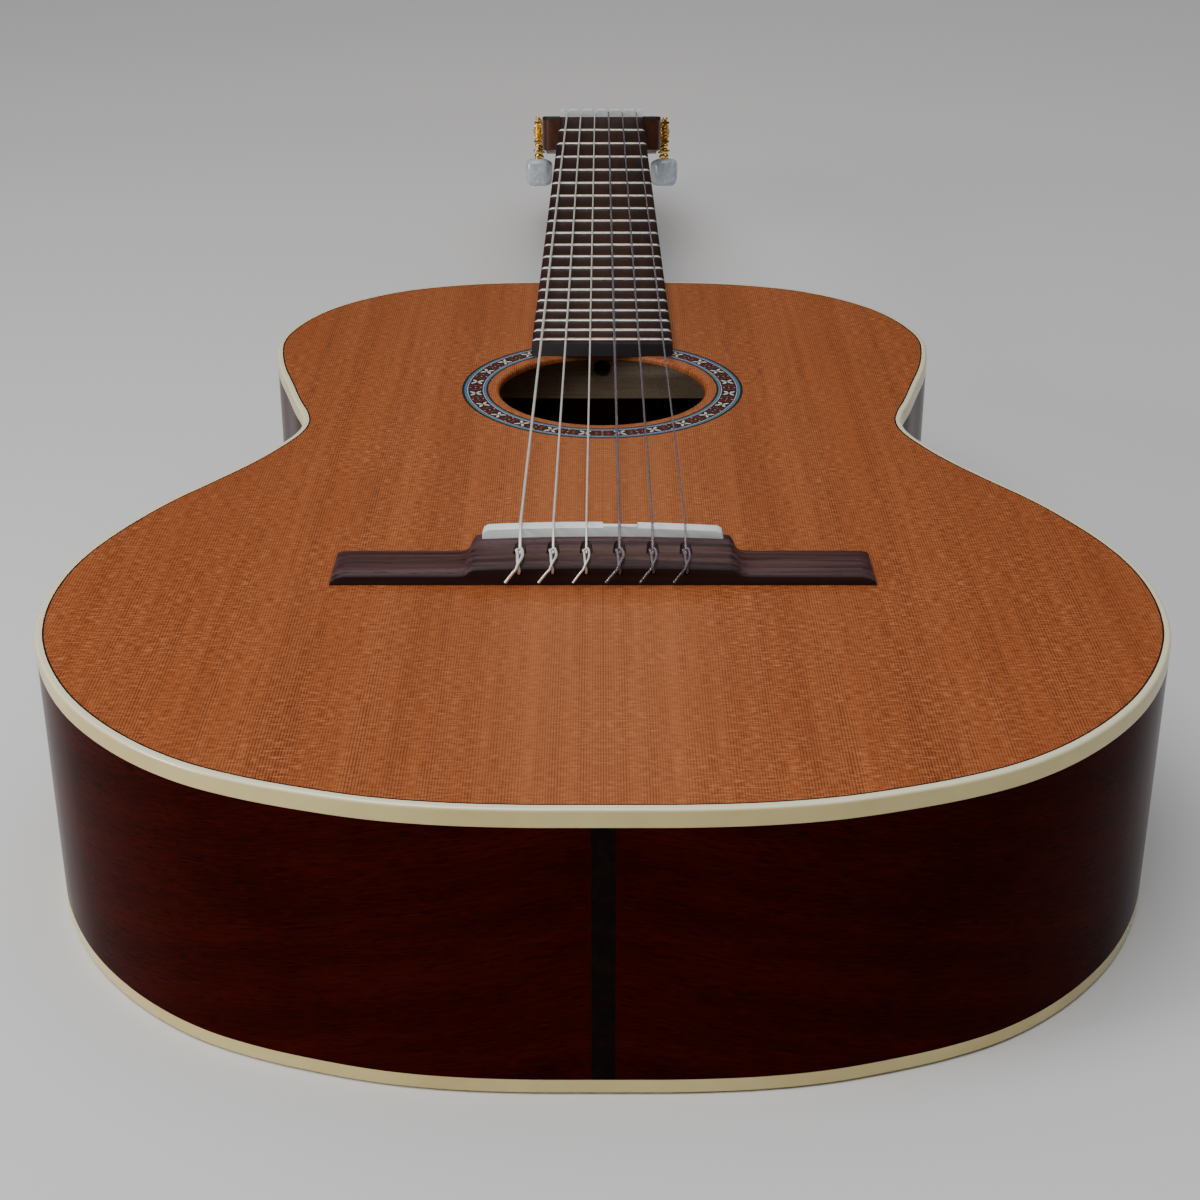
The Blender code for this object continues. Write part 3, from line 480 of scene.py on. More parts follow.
def eased_copy(node, name, look, edge):
    """New piece with a frame node's shape, its flat faces merged and its edges rounded."""
    bm = bmesh.new()
    bm.from_mesh(NODES[node].data)
    bmesh.ops.remove_doubles(bm, verts=bm.verts, dist=1e-6)
    bmesh.ops.dissolve_limit(bm, angle_limit=radians(0.6), verts=bm.verts, edges=bm.edges)
    bmesh.ops.recalc_face_normals(bm, faces=bm.faces)
    verts = [tuple(v.co * 1000 - Vector((0, 0, FACE))) for v in bm.verts]
    faces = [tuple(v.index for v in f.verts) for f in bm.faces]
    bm.free()
    obj = piece(name, (verts, faces), look, replaces=[node])
    soften(obj, edge)
    carve(obj, [], sharp=40.0)


def join_shapes(shapes):
    verts = []
    faces = []
    for v, f in shapes:
        base = len(verts)
        verts += v
        faces += [tuple(i + base for i in face) for face in f]
    return verts, faces


def circle(n):
    """Angles of n even steps round a circle."""
    return [2 * pi * i / n for i in range(n)]


def loft(rings, closed=False):
    """Body through rings of equal length; open ends get caps, closed runs back to the start."""
    n = len(rings[0])
    m = len(rings)
    verts = [tuple(p) for ring in rings for p in ring]
    faces = []
    for k in range(m if closed else m - 1):
        q = (k + 1) % m
        for i in range(n):
            j = (i + 1) % n
            faces.append((k * n + i, k * n + j, q * n + j, q * n + i))
    if not closed:
        faces.append(tuple(range(n)))
        faces.append(tuple(range((m - 1) * n, m * n)))
    return verts, faces


def curve(points, steps, closed=False):
    """Smooth curve through points of any dimension, with tangents weighted by chord length."""
    p = [Vector(q) for q in points]
    n = len(p)
    spans = n if closed else n - 1
    chord = [max(1e-9, (p[(i + 1) % n] - p[i]).length) for i in range(spans)]
    slope = []
    for i in range(n):
        if closed or 0 < i < n - 1:
            a = chord[i - 1]
            b = chord[i % spans]
            back = (p[i] - p[i - 1]) / a
            ahead = (p[(i + 1) % n] - p[i]) / b
            slope.append((back * b + ahead * a) / (a + b))
        elif i == 0:
            slope.append((p[1] - p[0]) / chord[0])
        else:
            slope.append((p[-1] - p[-2]) / chord[-1])
    out = []
    for i in range(spans):
        j = (i + 1) % n
        for k in range(steps):
            t = k / steps
            h = chord[i]
            out.append(p[i] * (2 * t ** 3 - 3 * t ** 2 + 1) + slope[i] * h * (t ** 3 - 2 * t ** 2 + t)
                       + p[j] * (3 * t ** 2 - 2 * t ** 3) + slope[j] * h * (t ** 3 - t ** 2))
    if not closed:
        out.append(p[-1])
    return out


def tube(path, radius, sides=12):
    """Round tube along a path, its frame carried along without twist."""
    pts = [Vector(p) for p in path]
    rings = []
    side = None
    for i, p in enumerate(pts):
        ahead = (pts[min(i + 1, len(pts) - 1)] - pts[max(i - 1, 0)]).normalized()
        side = ahead.orthogonal() if side is None else side - ahead * side.dot(ahead)
        side.normalize()
        up = ahead.cross(side)
        rings.append([p + radius * (cos(a) * side + sin(a) * up) for a in circle(sides)])
    return loft(rings)


def lathe(profile, at, sides):
    """Turned body: profile holds (radius, position) pairs and at(position, c, s) places a point."""
    return loft([[at(q, r * cos(a), r * sin(a)) for a in circle(sides)] for r, q in profile])


# ---------------------------------------------------------------- rim of the body
def rim_from_frame():
    """Smooth outline of the body, from the back's own outline moved out to the binding's face."""
    middle = Vector((0.0, 100.0))
    seen = {}
    for v in NODES["back_plate"].data.vertices:
        p = Vector((v.co.x * 1000, v.co.y * 1000))
        seen[(round(p.x, 1), round(p.y, 1))] = p
    ordered = sorted(seen.values(), key=lambda p: atan2(p.y - middle.y, p.x - middle.x))
    outline = [p for k, p in enumerate(ordered) if (p - ordered[k - 1]).length > 0.5]
    tail = min(p.y for p in outline)
    line = [Vector((p.x, max(p.y, tail))) for p in curve(outline, 6, closed=True)]
    start = min(range(len(line)), key=lambda k: abs(line[k].x) + (1000 if line[k].y > 0 else 0))
    line = line[start:] + line[:start]
    inward = []
    for k, p in enumerate(line):
        d = (line[(k + 1) % len(line)] - line[k - 1]).normalized()
        inward.append(Vector((-d.y, d.x)))
    return line, inward


RIM, RIM_IN = rim_from_frame()
RIM_OFFSET = corners("back_binding")[1][0] - corners("back_plate")[1][0]
RIM_N = len(RIM)
RUN = [0.0]
for k in range(RIM_N):
    RUN.append(RUN[-1] + (RIM[(k + 1) % RIM_N] - RIM[k]).length)


def inset(d, k):
    """Point of the outline moved inwards by d from the outer face."""
    p = RIM[k % RIM_N] + RIM_IN[k % RIM_N] * (d - RIM_OFFSET)
    return p.x, p.y


def rim_loop(d):
    return [inset(d, k) for k in range(RIM_N)]


def band(profile):
    """Profile of (inset, z) points swept all the way round the body."""
    return loft([[(*inset(d, k), z) for d, z in profile] for k in range(RIM_N)], closed=True)


def slab(loops, z0, z1):
    """Flat body between two heights; the first loop is the outline, the rest are holes."""
    flat = [[Vector((x, y, 0)) for x, y in loop] for loop in loops]
    tris = tessellate_polygon(flat)
    pts = [(p.x, p.y) for loop in flat for p in loop]
    n = len(pts)
    verts = [(x, y, z0) for x, y in pts] + [(x, y, z1) for x, y in pts]
    faces = [tuple(t) for t in tris] + [tuple(i + n for i in reversed(t)) for t in tris]
    base = 0
    for loop in flat:
        m = len(loop)
        for i in range(m):
            j = (i + 1) % m
            faces.append((base + i, base + j, base + j + n, base + i + n))
        base += m
    return verts, faces


def ring_points(r, n):
    return [(r * cos(a), ROSE_Y + r * sin(a)) for a in circle(n)]


def annulus(profile, n=240):
    """Ring round the sound hole from a closed profile of (radius, z) points."""
    return loft([[(r * cos(a), ROSE_Y + r * sin(a), z) for r, z in profile] for a in circle(n)],
                closed=True)


def binding(inner, outer):
    """Binding between two heights, its outer edge rounded."""
    crown = 1.1 if outer > inner else -1.1
    profile = [(BINDING, inner), (BINDING, outer)]
    for k in range(7):
        a = pi / 12 * k
        profile.append((abs(crown) * (1.0 - sin(a)), outer - crown + crown * cos(a)))
    return band(profile + [(0.0, inner)])


def make_body():
    """Soundboard with its recess and rounded hole, back, sides, bindings and purfling."""
    edge = BINDING + PURFLING
    low = -TOP_T
    plate = slab([rim_loop(edge), ring_points(ROSE_OUT, 240)], low, 0.0)
    lip = [(HOLE_R, low), (HOLE_R, -1.5)]
    for k in range(1, 7):
        a = pi / 12 * k
        lip.append((HOLE_R + 1.5 - 1.5 * cos(a), -1.5 + 1.5 * sin(a)))
    floor = -1.4
    lip += [(ROSE_IN, 0.0), (ROSE_IN, floor), (ROSE_OUT, floor), (ROSE_OUT, low)]
    piece("soundboard_cedar", join_shapes([plate, annulus(lip)]), CEDAR, replaces=["soundboard"])

    piece("binding_top", binding(-BIND_TOP, 0.0), CREAM, replaces=["top_binding"])
    line = [(BINDING, -2.0), (BINDING, 0.0), (edge, 0.0), (edge, -2.0)]
    piece("purfling_top", band(line), EBONY)

    top = BACK + BIND_BACK
    piece("binding_back", binding(top, BACK), CREAM, replaces=["back_binding"])
    piece("back_mahogany_plate", slab([rim_loop(edge)], BACK, BACK + BACK_T), BACK_WOOD,
          replaces=["back_plate"])
    line = [(BINDING, BACK), (BINDING, BACK + 2.0), (edge, BACK + 2.0), (edge, BACK)]
    piece("purfling_back", band(line), EBONY)
    make_sides(top, -BIND_TOP)


def make_sides(low, high):
    """Two bent sides that meet at the neck end, and the strip between them at the tail."""
    half = RIM_N // 2
    first = next(k for k in range(1, half) if abs(inset(0, k)[0]) > STRIP_HALF + 0.2)
    for label, sign in (("treble", 1), ("bass", -1)):
        keys = list(range(first, half + 1))
        if inset(0, first)[0] * sign < 0:
            keys = [-k for k in keys]
        rows = [(*inset(0, k), *inset(SIDE_T, k), RUN[abs(k)]) for k in keys]
        edge = sign * STRIP_HALF
        rows.insert(0, (edge, rows[0][1], edge, rows[0][3], 0.0))
        rows[-1] = (sign * 0.1, rows[-1][1], sign * 0.1, *rows[-1][3:])
        rings = []
        grain = []
        for x0, y0, x1, y1, run in rows:
            rings.append([(x0, y0, low), (x0, y0, high), (x1, y1, high), (x1, y1, low)])
            grain += [(run * 0.001, z * 0.001) for z in (low, high, high, low)]
        piece("side_wood_" + label, loft(rings), SIDE_WOOD, replaces=["side_" + label],
              grain=grain)
    keys = list(range(-first + 1, first))
    line = [(-STRIP_HALF, inset(0, first)[1])]
    line += [inset(0, k) for k in keys if abs(inset(0, k)[0]) < STRIP_HALF]
    line.sort()
    line.append((STRIP_HALF, line[0][1]))
    rings = [[(x, y, low), (x, y, high), (x, y + SIDE_T, high), (x, y + SIDE_T, low)] for x, y in line]
    piece("end_strip_wood", loft(rings), STRIP_WOOD, replaces=["end_strip"])


# ---------------------------------------------------------------- rosette
MOTIFS = 24
TILE_TOP = 0.0
LINES = ((59.3, 58.2, EBONY, "black_outer"), (58.2, 57.4, LINE_BLUE, "blue_outer"),
         (57.4, 57.0, LINE_DEEP, "deep_outer"), (57.0, 56.7, LINE_WHITE, "white_outer"),
         (50.5, 50.2, LINE_WHITE, "white_inner"), (50.2, 49.8, LINE_DEEP, "deep_inner"),
         (49.8, 49.1, LINE_BLUE, "blue_inner"), (49.1, 48.2, EBONY, "black_inner"))


def tile(radius, angle, along, across, turn, n=10):
    """Small leaf-shaped inlay; along and across are its half sizes, turned in its own plane."""
    low = []
    top = []
    for a in circle(n):
        u = along * cos(a)
        v = across * sin(a) * (1.0 - 0.25 * cos(a))
        cu = u * cos(turn) - v * sin(turn)
        cv = u * sin(turn) + v * cos(turn)
        r = radius + cv
        b = angle + cu / radius
        low.append((r * cos(b), ROSE_Y + r * sin(b), -0.6))
        top.append((r * cos(b), ROSE_Y + r * sin(b), TILE_TOP))
    return loft([low, top])


def make_rosette():
    """Ring of lines round a band of four-petalled flowers and paired red leaves."""
    for r1, r0, look, label in LINES:
        piece("rosette_" + label, annulus([(r0, -1.0), (r1, -1.0), (r1, TILE_TOP), (r0, TILE_TOP)]), look)
    ground = [(50.5, -1.0), (56.7, -1.0), (56.7, -0.03), (50.5, -0.03)]
    piece("rosette_ground", annulus(ground), EBONY, replaces=["rosette"])
    mid = 53.6
    petals = []
    leaves = []
    dots = []
    for k in range(MOTIFS):
        a = 2 * pi * (k + 0.5) / MOTIFS - pi / 2
        for du, dv in ((1, 1), (1, -1), (-1, 1), (-1, -1)):
            turn = atan2(dv, du)
            petals.append(tile(mid + dv * 1.35, a + du * 1.35 / mid, 1.4, 0.6, turn))
        dots.append(tile(mid, a, 0.34, 0.34, 0.0, 8))
        for step in (-1, 1):
            b = a + pi / MOTIFS + step * 2.35 / mid
            for dv in (-1, 1):
                leaves.append(tile(mid + dv * 1.35, b, 1.15, 1.1, dv * step * 0.7))
        b = a + pi / MOTIFS
        for dv in (-2.2, 0.0, 2.2):
            dots.append(tile(mid + dv, b, 0.5, 0.42, 0.0, 8))
        for step in (-1, 1):
            dots.append(tile(mid, b + step * 2.35 / mid, 0.3, 0.3, 0.0, 8))
    piece("rosette_petals", join_shapes(petals), TILE_WHITE)
    piece("rosette_leaves", join_shapes(leaves), TILE_RED)
    piece("rosette_dots", join_shapes(dots), TILE_PINK)


# ---------------------------------------------------------------- fingerboard, frets, nut, saddle
def board_half(y):
    """Half width of the fingerboard, which widens from the nut to its end."""
    wide = corners("fingerboard")[1][0]
    narrow = 25.85
    return narrow + (SCALE - y) * (wide - narrow) / (SCALE - BOARD_LOW[1])


def fret_y(n):
    return SCALE * 2 ** (-n / 12)


def make_board():
    """Tapered fingerboard with eased edges and a slot under every fret."""
    low = 0.02
    ease = 0.7
    rings = []
    for y, back in ((BOARD_LOW[1], 0.5), (BOARD_LOW[1] + 0.5, 0.0), (SCALE, 0.0)):
        half = board_half(y) - back
        rings.append([(-half, y, low), (half, y, low), (half, y, BOARD_TOP - ease - back),
                      (half - 0.25, y, BOARD_TOP - 0.25 - back), (half - ease, y, BOARD_TOP - back),
                      (-half + ease, y, BOARD_TOP - back), (-half + 0.25, y, BOARD_TOP - 0.25 - back),
                      (-half, y, BOARD_TOP - ease - back)])
    board = piece("board_wood", loft(rings), BOARD_WOOD, replaces=["fingerboard"])
    slots = []
    for n in range(1, FRETS + 1):
        y = fret_y(n)
        slots.append(loft([[(-40, y - 0.4, z), (40, y - 0.4, z), (40, y + 0.4, z), (-40, y + 0.4, z)]
                           for z in (BOARD_TOP - 2.0, BOARD_TOP + 1.0)]))
    carve(board, [join_shapes(slots)], sharp=50.0)


def make_frets():
    """Crowned fret wire with bevelled ends."""
    for n in range(1, FRETS + 1):
        y = fret_y(n)
        high = corners("fret_%02d" % n)[1][2] - BOARD_TOP
        half = board_half(y) - 0.2
        rings = []
        for x, tall in ((-half, 0.12), (-half + 0.6, 0.6), (-half + 1.1, 0.92), (-half + 1.6, 1.0),
                        (half - 1.6, 1.0), (half - 1.1, 0.92), (half - 0.6, 0.6), (half, 0.12)):
            ring = [(x, y + 0.3, BOARD_TOP), (x, y + 0.3, BOARD_TOP - 1.5), (x, y - 0.3, BOARD_TOP - 1.5),
                    (x, y - 0.3, BOARD_TOP)]
            for j in range(11):
                a = pi - pi * j / 10
                ring.append((x, y + 1.2 * cos(a), BOARD_TOP + high * tall * sin(a) ** 0.8))
            rings.append(ring)
        piece("fret_wire_%02d" % n, loft(rings), NICKEL, replaces=["fret_%02d" % n],
              sharp=50.0)


def string_x(k, y):
    a = AT_SADDLE * (2 * k / 5 - 1)
    b = AT_NUT * (2 * k / 5 - 1)
    return a + (b - a) * y / SCALE


NUT_RISE = 0.8           # the lobes stand this much over the frame's nut


def make_nut():
    """Nut with a rounded lobe either side of each string."""
    low, high = corners("nut")
    front = low[1]
    rear = high[1]
    rings = []
    count = 230
    for i in range(count + 1):
        x = low[0] + (high[0] - low[0]) * i / count
        top = high[2] + NUT_RISE
        for k in range(6):
            reach = abs(x - string_x(k, SCALE)) / (STRING_R[k] + 1.0)
            if reach < 1.0:
                top -= (NUT_RISE + 1.9) * (1.0 - reach * reach) ** 1.2
        end = min(1.0, (high[0] - abs(x)) / 1.4)
        top -= 1.5 * (1.0 - sqrt(max(0.0, 1.0 - (1.0 - end) ** 2)))
        ring = [(x, front, low[2]), (x, front, top - 0.9)]
        for j in range(1, 6):
            a = pi / 12 * j
            ring.append((x, front + 0.9 - 0.9 * cos(a), top - 0.9 + 0.9 * sin(a)))
        ring += [(x, front + 1.0, top), (x, rear - 1.6, top - 0.25), (x, rear - 0.5, top - 0.9),
                 (x, rear, top - 1.7), (x, rear, low[2])]
        rings.append(ring)
    piece("nut_bone", loft(rings), BONE, replaces=["nut"])


BLOCK_PROFILE = ((-22.5, 0.0), (-22.4, 6.2), (-21.6, 7.3), (-19.8, 8.0), (-13.8, 8.15), (-5.0, 8.7),
                 (-1.5, 8.9), (2.4, 8.8), (4.2, 7.4), (4.8, 0.0))
WING_PROFILE = ((-22.5, 0.0), (-22.4, 3.0), (-21.8, 3.8), (-20.4, 4.2), (-14.0, 4.3), (-9.0, 3.8),
                (-4.0, 2.7), (1.0, 1.6), (4.2, 0.9), (4.6, 0.0))
BLEND = ((0, 1), (15, 1), (30, 1), (42.5, 1), (44.0, 0.98), (44.9, 0.82), (45.7, 0.5), (46.5, 0.22),
         (47.6, 0.08), (49.5, 0.01), (53.0, 0), (70.0, 0), (88.0, 0))


def bridge_section(x, blend, tall=1.0):
    """Section of the bridge: blend 0 is the wing, 1 the tie block."""
    ring = []
    for (y0, z0), (y1, z1) in zip(WING_PROFILE, BLOCK_PROFILE):
        crown = 1.0 - 0.00006 * x * x if blend > 0.5 else 1.0
        ring.append((x, y0 + (y1 - y0) * blend, (z0 + (z1 - z0) * blend) * tall * crown))
    return ring


def make_bridge():
    """Bridge with its wings, saddle slot, tie holes and a pocket in front of each tie hole."""
    right = [bridge_section(x, m) for x, m in BLEND]
    right += [bridge_section(90.8, 0, 0.8), bridge_section(92.4, 0, 0.45), bridge_section(93.0, 0, 0.1)]
    left = [[(-x, y, z) for x, y, z in ring] for ring in reversed(right[1:])]
    bridge = piece("bridge_wood", loft(left + right), BRIDGE_WOOD, replaces=["bridge"])
    low, high = corners("saddle")
    section = ((-1.6, 2.6), (1.6, 2.6), (1.6, 15), (-1.6, 15))
    slot = loft([[(x, y, z) for y, z in section] for x in (low[0] - 0.2, high[0] + 0.2)])
    pockets = []
    holes = []
    for k in range(6):
        x = string_x(k, 0)
        rings = []
        for y, half, floor in ((-13.9, 2.3, 3.3), (-11.5, 2.2, 3.6), (-8.0, 1.9, 5.6), (-5.0, 1.5, 8.0)):
            ring = [(x + half * cos(a), y, floor + half + half * sin(a))
                    for a in (pi + pi * j / 8 for j in range(9))]
            rings.append(ring + [(x + half, y, 13.0), (x - half, y, 13.0)])
        pockets.append(loft(rings))
        ring = [(x + 1.05 * cos(a), TIE_Z + 1.05 * sin(a)) for a in circle(16)]
        holes.append(loft([[(p, y, q) for p, q in ring] for y in (-26.0, -10.0)]))
    soften(bridge, 0.25)
    carve(bridge, [slot, join_shapes(pockets), join_shapes(holes)], sharp=30.0)


def knot_path(x, lean):
    """Loop of a string's end: up over the tie block, round the string, back and under itself."""
    rear = TIE_REAR
    rise = 8.25
    pts = [(x, rear + 6, TIE_Z), (x, rear + 0.2, TIE_Z), (x + 0.1, rear - 0.7, TIE_Z + 0.35),
           (x + 0.1, rear - 0.95, TIE_Z + 1.5), (x - 0.2, rear - 0.7, rise - 0.7),
           (x - 0.45, rear + 1.3, rise + 0.35), (x - 0.55, rear + 4.2, rise + 0.55),
           (x - 0.8, rear + 7.4, rise + 0.72), (x - 1.05, rear + 9.6, rise + 0.6),
           (x - 0.6, rear + 10.7, rise + 0.1), (x + 0.3, rear + 10.5, rise + 0.75),
           (x + 0.8, rear + 8.8, rise + 1.0), (x + 1.1 + lean, rear + 6.3, rise + 0.85),
           (x + 1.05 + lean, rear + 3.6, rise + 0.75), (x + 0.6, rear + 0.9, rise + 0.8),
           (x - 0.2, rear - 0.9, rise + 0.1), (x - 0.9, rear - 1.75, rise - 1.5),
           (x - 1.9, rear - 1.9, TIE_Z + 1.0), (x - 3.7 - lean, rear - 2.1, TIE_Z - 1.4),
           (x - 4.6 - lean, rear - 2.2, TIE_Z - 2.6)]
    return curve(pts, 6)


def head_origin():
    """The face plane and lower edge of the head, read off its veneer."""
    pts = [v.co * 1000 - Vector((0, 0, FACE)) for v in NODES["head_veneer"].data.vertices]
    up = max(p.dot(HEAD_UP) for p in pts)
    start = min(p.dot(HEAD_ON) for p in pts)
    return up, start


FACE_UP, FACE_START = head_origin()


def head(x, s, t):
    """Point on the head: s along its face from the lower edge, t up from the face."""
    p = HEAD_ON * (FACE_START + s) + HEAD_UP * (FACE_UP + t)
    return x, p.y, p.z


def joint_place(name):
    """x, s and t of a joint on the head."""
    p = Vector(JOINTS[name]["pos_m"]) * 1000 - Vector((0, 0, FACE))
    return p.x, p.dot(HEAD_ON) - FACE_START, p.dot(HEAD_UP) - FACE_UP


def tuners():
    """Name and side of each of the six tuning machines."""
    return [("%s_%d" % (label, n), sign) for label, sign in SIDES for n in (1, 2, 3)]


def make_strings():
    """Each string from its roller over nut and saddle into the tie block, with its knot."""
    nut_low, nut_high = corners("nut")
    slot_z = nut_high[2] - 1.9
    for k, name in enumerate(STRINGS):
        r = STRING_R[k]
        look = WOUND if k < 3 else NYLON
        side = -1 if k < 3 else 1
        order = k if k < 3 else 5 - k
        label = "%s_%d" % ("bass" if k < 3 else "treble", order + 1)
        crest = corners("string_" + name)[1][2] - r - 0.12
        xb = string_x(k, 0)
        xn = string_x(k, SCALE)
        _, s, t = joint_place("turn_roller_" + label)
        wind = ROLLER_R + r
        end = head(side * ROLLER_X[order], s, t + wind)
        over = slot_z + r
        bend = [(xb, TIE_REAR + 9.5, TIE_Z), (xb, TIE_REAR + 10.4, TIE_Z + 0.5), (xb, -8.0, crest - 4.7),
                (xb, -1.6, crest - 0.5), (xb, -0.4, crest), (xb, 0.9, crest - 0.02)]
        knot = knot_path(xb, 0.12 * sin(2.4 * k))
        path = knot[:1] + curve(bend, 4)
        path += [(xn, nut_low[1] - 1.0, over - 0.05), (xn, nut_low[1] + 1.0, over),
                 (xn, nut_low[1] + 2.5, over - 0.15), (xn, nut_high[1] - 0.2, over - 0.6), end]
        piece("string_line_" + name, tube(path, r), look, replaces=["string_" + name], sharp=80.0)
        piece("string_knot_" + name, tube(knot, r, 10), look, sharp=80.0)
        turns = 3.6
        count = 90
        coil = []
        for i in range(count + 1):
            a = 2 * pi * turns * i / count
            x = side * (ROLLER_X[order] - 2.15 * r * a / (2 * pi))
            coil.append(head(x, s + wind * sin(a), t + wind * cos(a)))
        piece("string_coil_" + name, tube(coil, r, 10), look, body="roller_" + label, sharp=80.0)


# ---------------------------------------------------------------- neck and head
def neck_rows():
    """Sections of the frame's neck from heel to nut, each from the treble edge round to the bass edge."""
    found = {}
    for v in NODES["neck"].data.vertices:
        x, y, z = v.co.x * 1000, v.co.y * 1000, v.co.z * 1000 - FACE
        if y < 640:
            found.setdefault(round(y, 1), {})[(round(x, 1), round(z, 1))] = (x, y, z)
    rows = []
    for y in sorted(found):
        row = sorted(found[y].values(), key=lambda p: atan2(0.01 - p[2], p[0]))
        if len(row) == 10:
            row.insert(5, (0.0, row[0][1], row[4][2]))
        rows.append(row)
    last = rows[-1]
    for y in (647.0, 657.0):
        grow = board_half(y) / last[0][0]
        rows.append([(p[0] * grow, y, p[2]) for p in last])
    return rows


def make_neck():
    """Neck and heel as one smooth body through the frame's own sections."""
    fine = []
    for row in neck_rows():
        low = min(p[2] for p in row)
        fine.append([(p.x, p.y, min(0.0, max(low, p.z))) for p in curve(row, 4)])
    foot = min(p[2] for p in fine[0])
    tracks = [curve([row[i] for row in fine], 4) for i in range(len(fine[0]))]
    rings = [[(t[k].x, t[k].y, min(0.0, max(foot, t[k].z))) for t in tracks] for k in range(len(tracks[0]))]
    return loft(rings)


HEAD_SIDE = ((0.0, 26.2), (0.2, 32.6), (1.4, 35.2), (4.0, 36.5), (20.0, 36.5), (60.0, 36.5), (110.0, 36.5),
             (150.0, 36.5), (158.0, 36.7), (166.0, 37.9), (172.5, 38.9), (177.5, 37.0), (182.0, 31.0),
             (185.0, 24.5), (185.9, 16.0), (187.6, 10.0), (189.4, 4.5), (190.0, 0.0))
SLOT_X = (6.5, 23.0)
SLOT_S = (21.9, 125.9)


def head_outline():
    half = curve(HEAD_SIDE, 3)
    return [(p.x, p.y) for p in half] + [(p.x, -p.y) for p in reversed(half[:-1])]


def head_prism(outline, t0, t1):
    return loft([[head(x, s, t0) for s, x in outline], [head(x, s, t1) for s, x in outline]])


def head_slot(x0, x1, n=16):
    r = (x1 - x0) / 2
    mid = (x0 + x1) / 2
    pts = [(SLOT_S[1] - r + r * sin(pi * i / n), mid + r * cos(pi * i / n))
           for i in range(n + 1)]
    return pts + [(SLOT_S[0] + r - r * sin(pi * i / n), mid - r * cos(pi * i / n))
                  for i in range(n + 1)]


def carve(obj, cuts, add=(), edge=0.0, sharp=35.0):
    """Add and then cut shapes by exact booleans, round the edges, and leave a plain mesh."""
    tools = [shape_object("tool", shape) for shape in (*add, *cuts)]
    for k, tool in enumerate(tools):
        mod = obj.modifiers.new("cut", "BOOLEAN")
        mod.operation = "UNION" if k < len(add) else "DIFFERENCE"
        mod.solver = "EXACT"
        mod.object = tool
    if edge:
        soften(obj, edge, 3, 32.0)
    bpy.context.view_layer.update()
    done = bpy.data.meshes.new_from_object(obj.evaluated_get(bpy.context.evaluated_depsgraph_get()))
    obj.modifiers.clear()
    obj.data = done
    done.shade_smooth()
    done.set_sharp_from_angle(angle=radians(sharp))
    for tool in tools:
        bpy.data.objects.remove(tool)


def head_bar(line, x0, x1):
    """Bar across the head between two distances from its middle, with a section of (s, t) points."""
    return loft([[head(x, s, t) for s, t in line] for x in (x0, x1)])


def head_cuts():
    """Two slots for the strings and the ramps that lead down into them."""
    sides = (SLOT_X, (-SLOT_X[1], -SLOT_X[0]))
    slots = join_shapes([head_prism(head_slot(a, b), 3.0, -26.0) for a, b in sides])
    ramp = ((11.9, 0.2), (10.4, 4.0), (41.4, 4.0), (41.4, -8.4))
    return slots, join_shapes([head_bar(ramp, sign * 6.9, sign * 22.6) for sign in (-1, 1)])


def make_head():
    """The head is joined to the neck, slotted, ramped and bored for the rollers."""
    veneer_low = -2.3
    thick = -20.6
    bore_r = 5.0
    neck = piece("neck_wood", make_neck(), NECK_WOOD, replaces=["neck"])
    slots, ramps = head_cuts()
    bores = []
    for tag, sign in tuners():
        _, s, t = joint_place("turn_roller_" + tag)
        ring = [(s + bore_r * cos(a), t + bore_r * sin(a)) for a in circle(32)]
        bores.append(head_bar(ring, sign * 4.0, sign * 40.0))
    outline = head_outline()
    carve(neck, [slots, ramps, join_shapes(bores)], add=[head_prism(outline, veneer_low, thick)])
    face = piece("head_face", head_prism(outline, 0.0, veneer_low), BOARD_WOOD,
                 replaces=["head_veneer"])
    carve(face, [slots, ramps], edge=0.4)


# ---------------------------------------------------------------- tuning machines
TEETH = 14
PITCH = 2.2
GEAR_R = TEETH * PITCH / (2 * pi)
WORM_R = 2.1


def wheel(sign, x_mid, s, t):
    """Wheel with leaning teeth."""
    n = TEETH * 8
    rings = []
    for x, trim in ((-2.1, 0.35), (-1.8, 0.0), (1.8, 0.0), (2.1, 0.35)):
        twist = -sign * (sign * x) * PITCH / (2 * pi * WORM_R) / GEAR_R
        ring = []
        for a in circle(n):
            wave = cos(TEETH * a)
            r = GEAR_R - 0.12 - 0.58 * copysign(abs(wave) ** 0.6, wave) - trim
            ring.append(head(sign * x_mid + x, s - r * cos(a + twist), t + r * sin(a + twist)))
        rings.append(ring)
    return loft(rings)


def make_rollers():
    """Barrel, toothed wheel and wheel screw of each string's roller."""
    for tag, sign in tuners():
        body = "roller_" + tag
        x, s, t = joint_place("turn_" + body)
        x = abs(x)

        def at(q, c, d):
            return head(sign * q, s + c, t + d)

        barrel = [(1.2, 4.6), (ROLLER_R - 0.5, 4.6), (ROLLER_R, 5.1), (ROLLER_R, 35.0),
                  (ROLLER_R - 0.5, 35.6), (2.6, 35.6), (2.6, x - 2.0), (1.5, x - 2.0)]
        screw = [(1.0, x + 1.6), (2.3, x + 1.6), (2.3, x + 2.3), (1.9, x + 2.75), (1.1, x + 2.95),
                 (0.05, x + 3.0)]
        piece("roller_barrel_" + tag, lathe(barrel, at, 40), GOLD, body=body)
        piece("wheel_" + tag, wheel(sign, x, s, t), GOLD, body=body, replaces=[body])
        piece("wheel_screw_" + tag, lathe(screw, at, 28), GOLD, body=body)


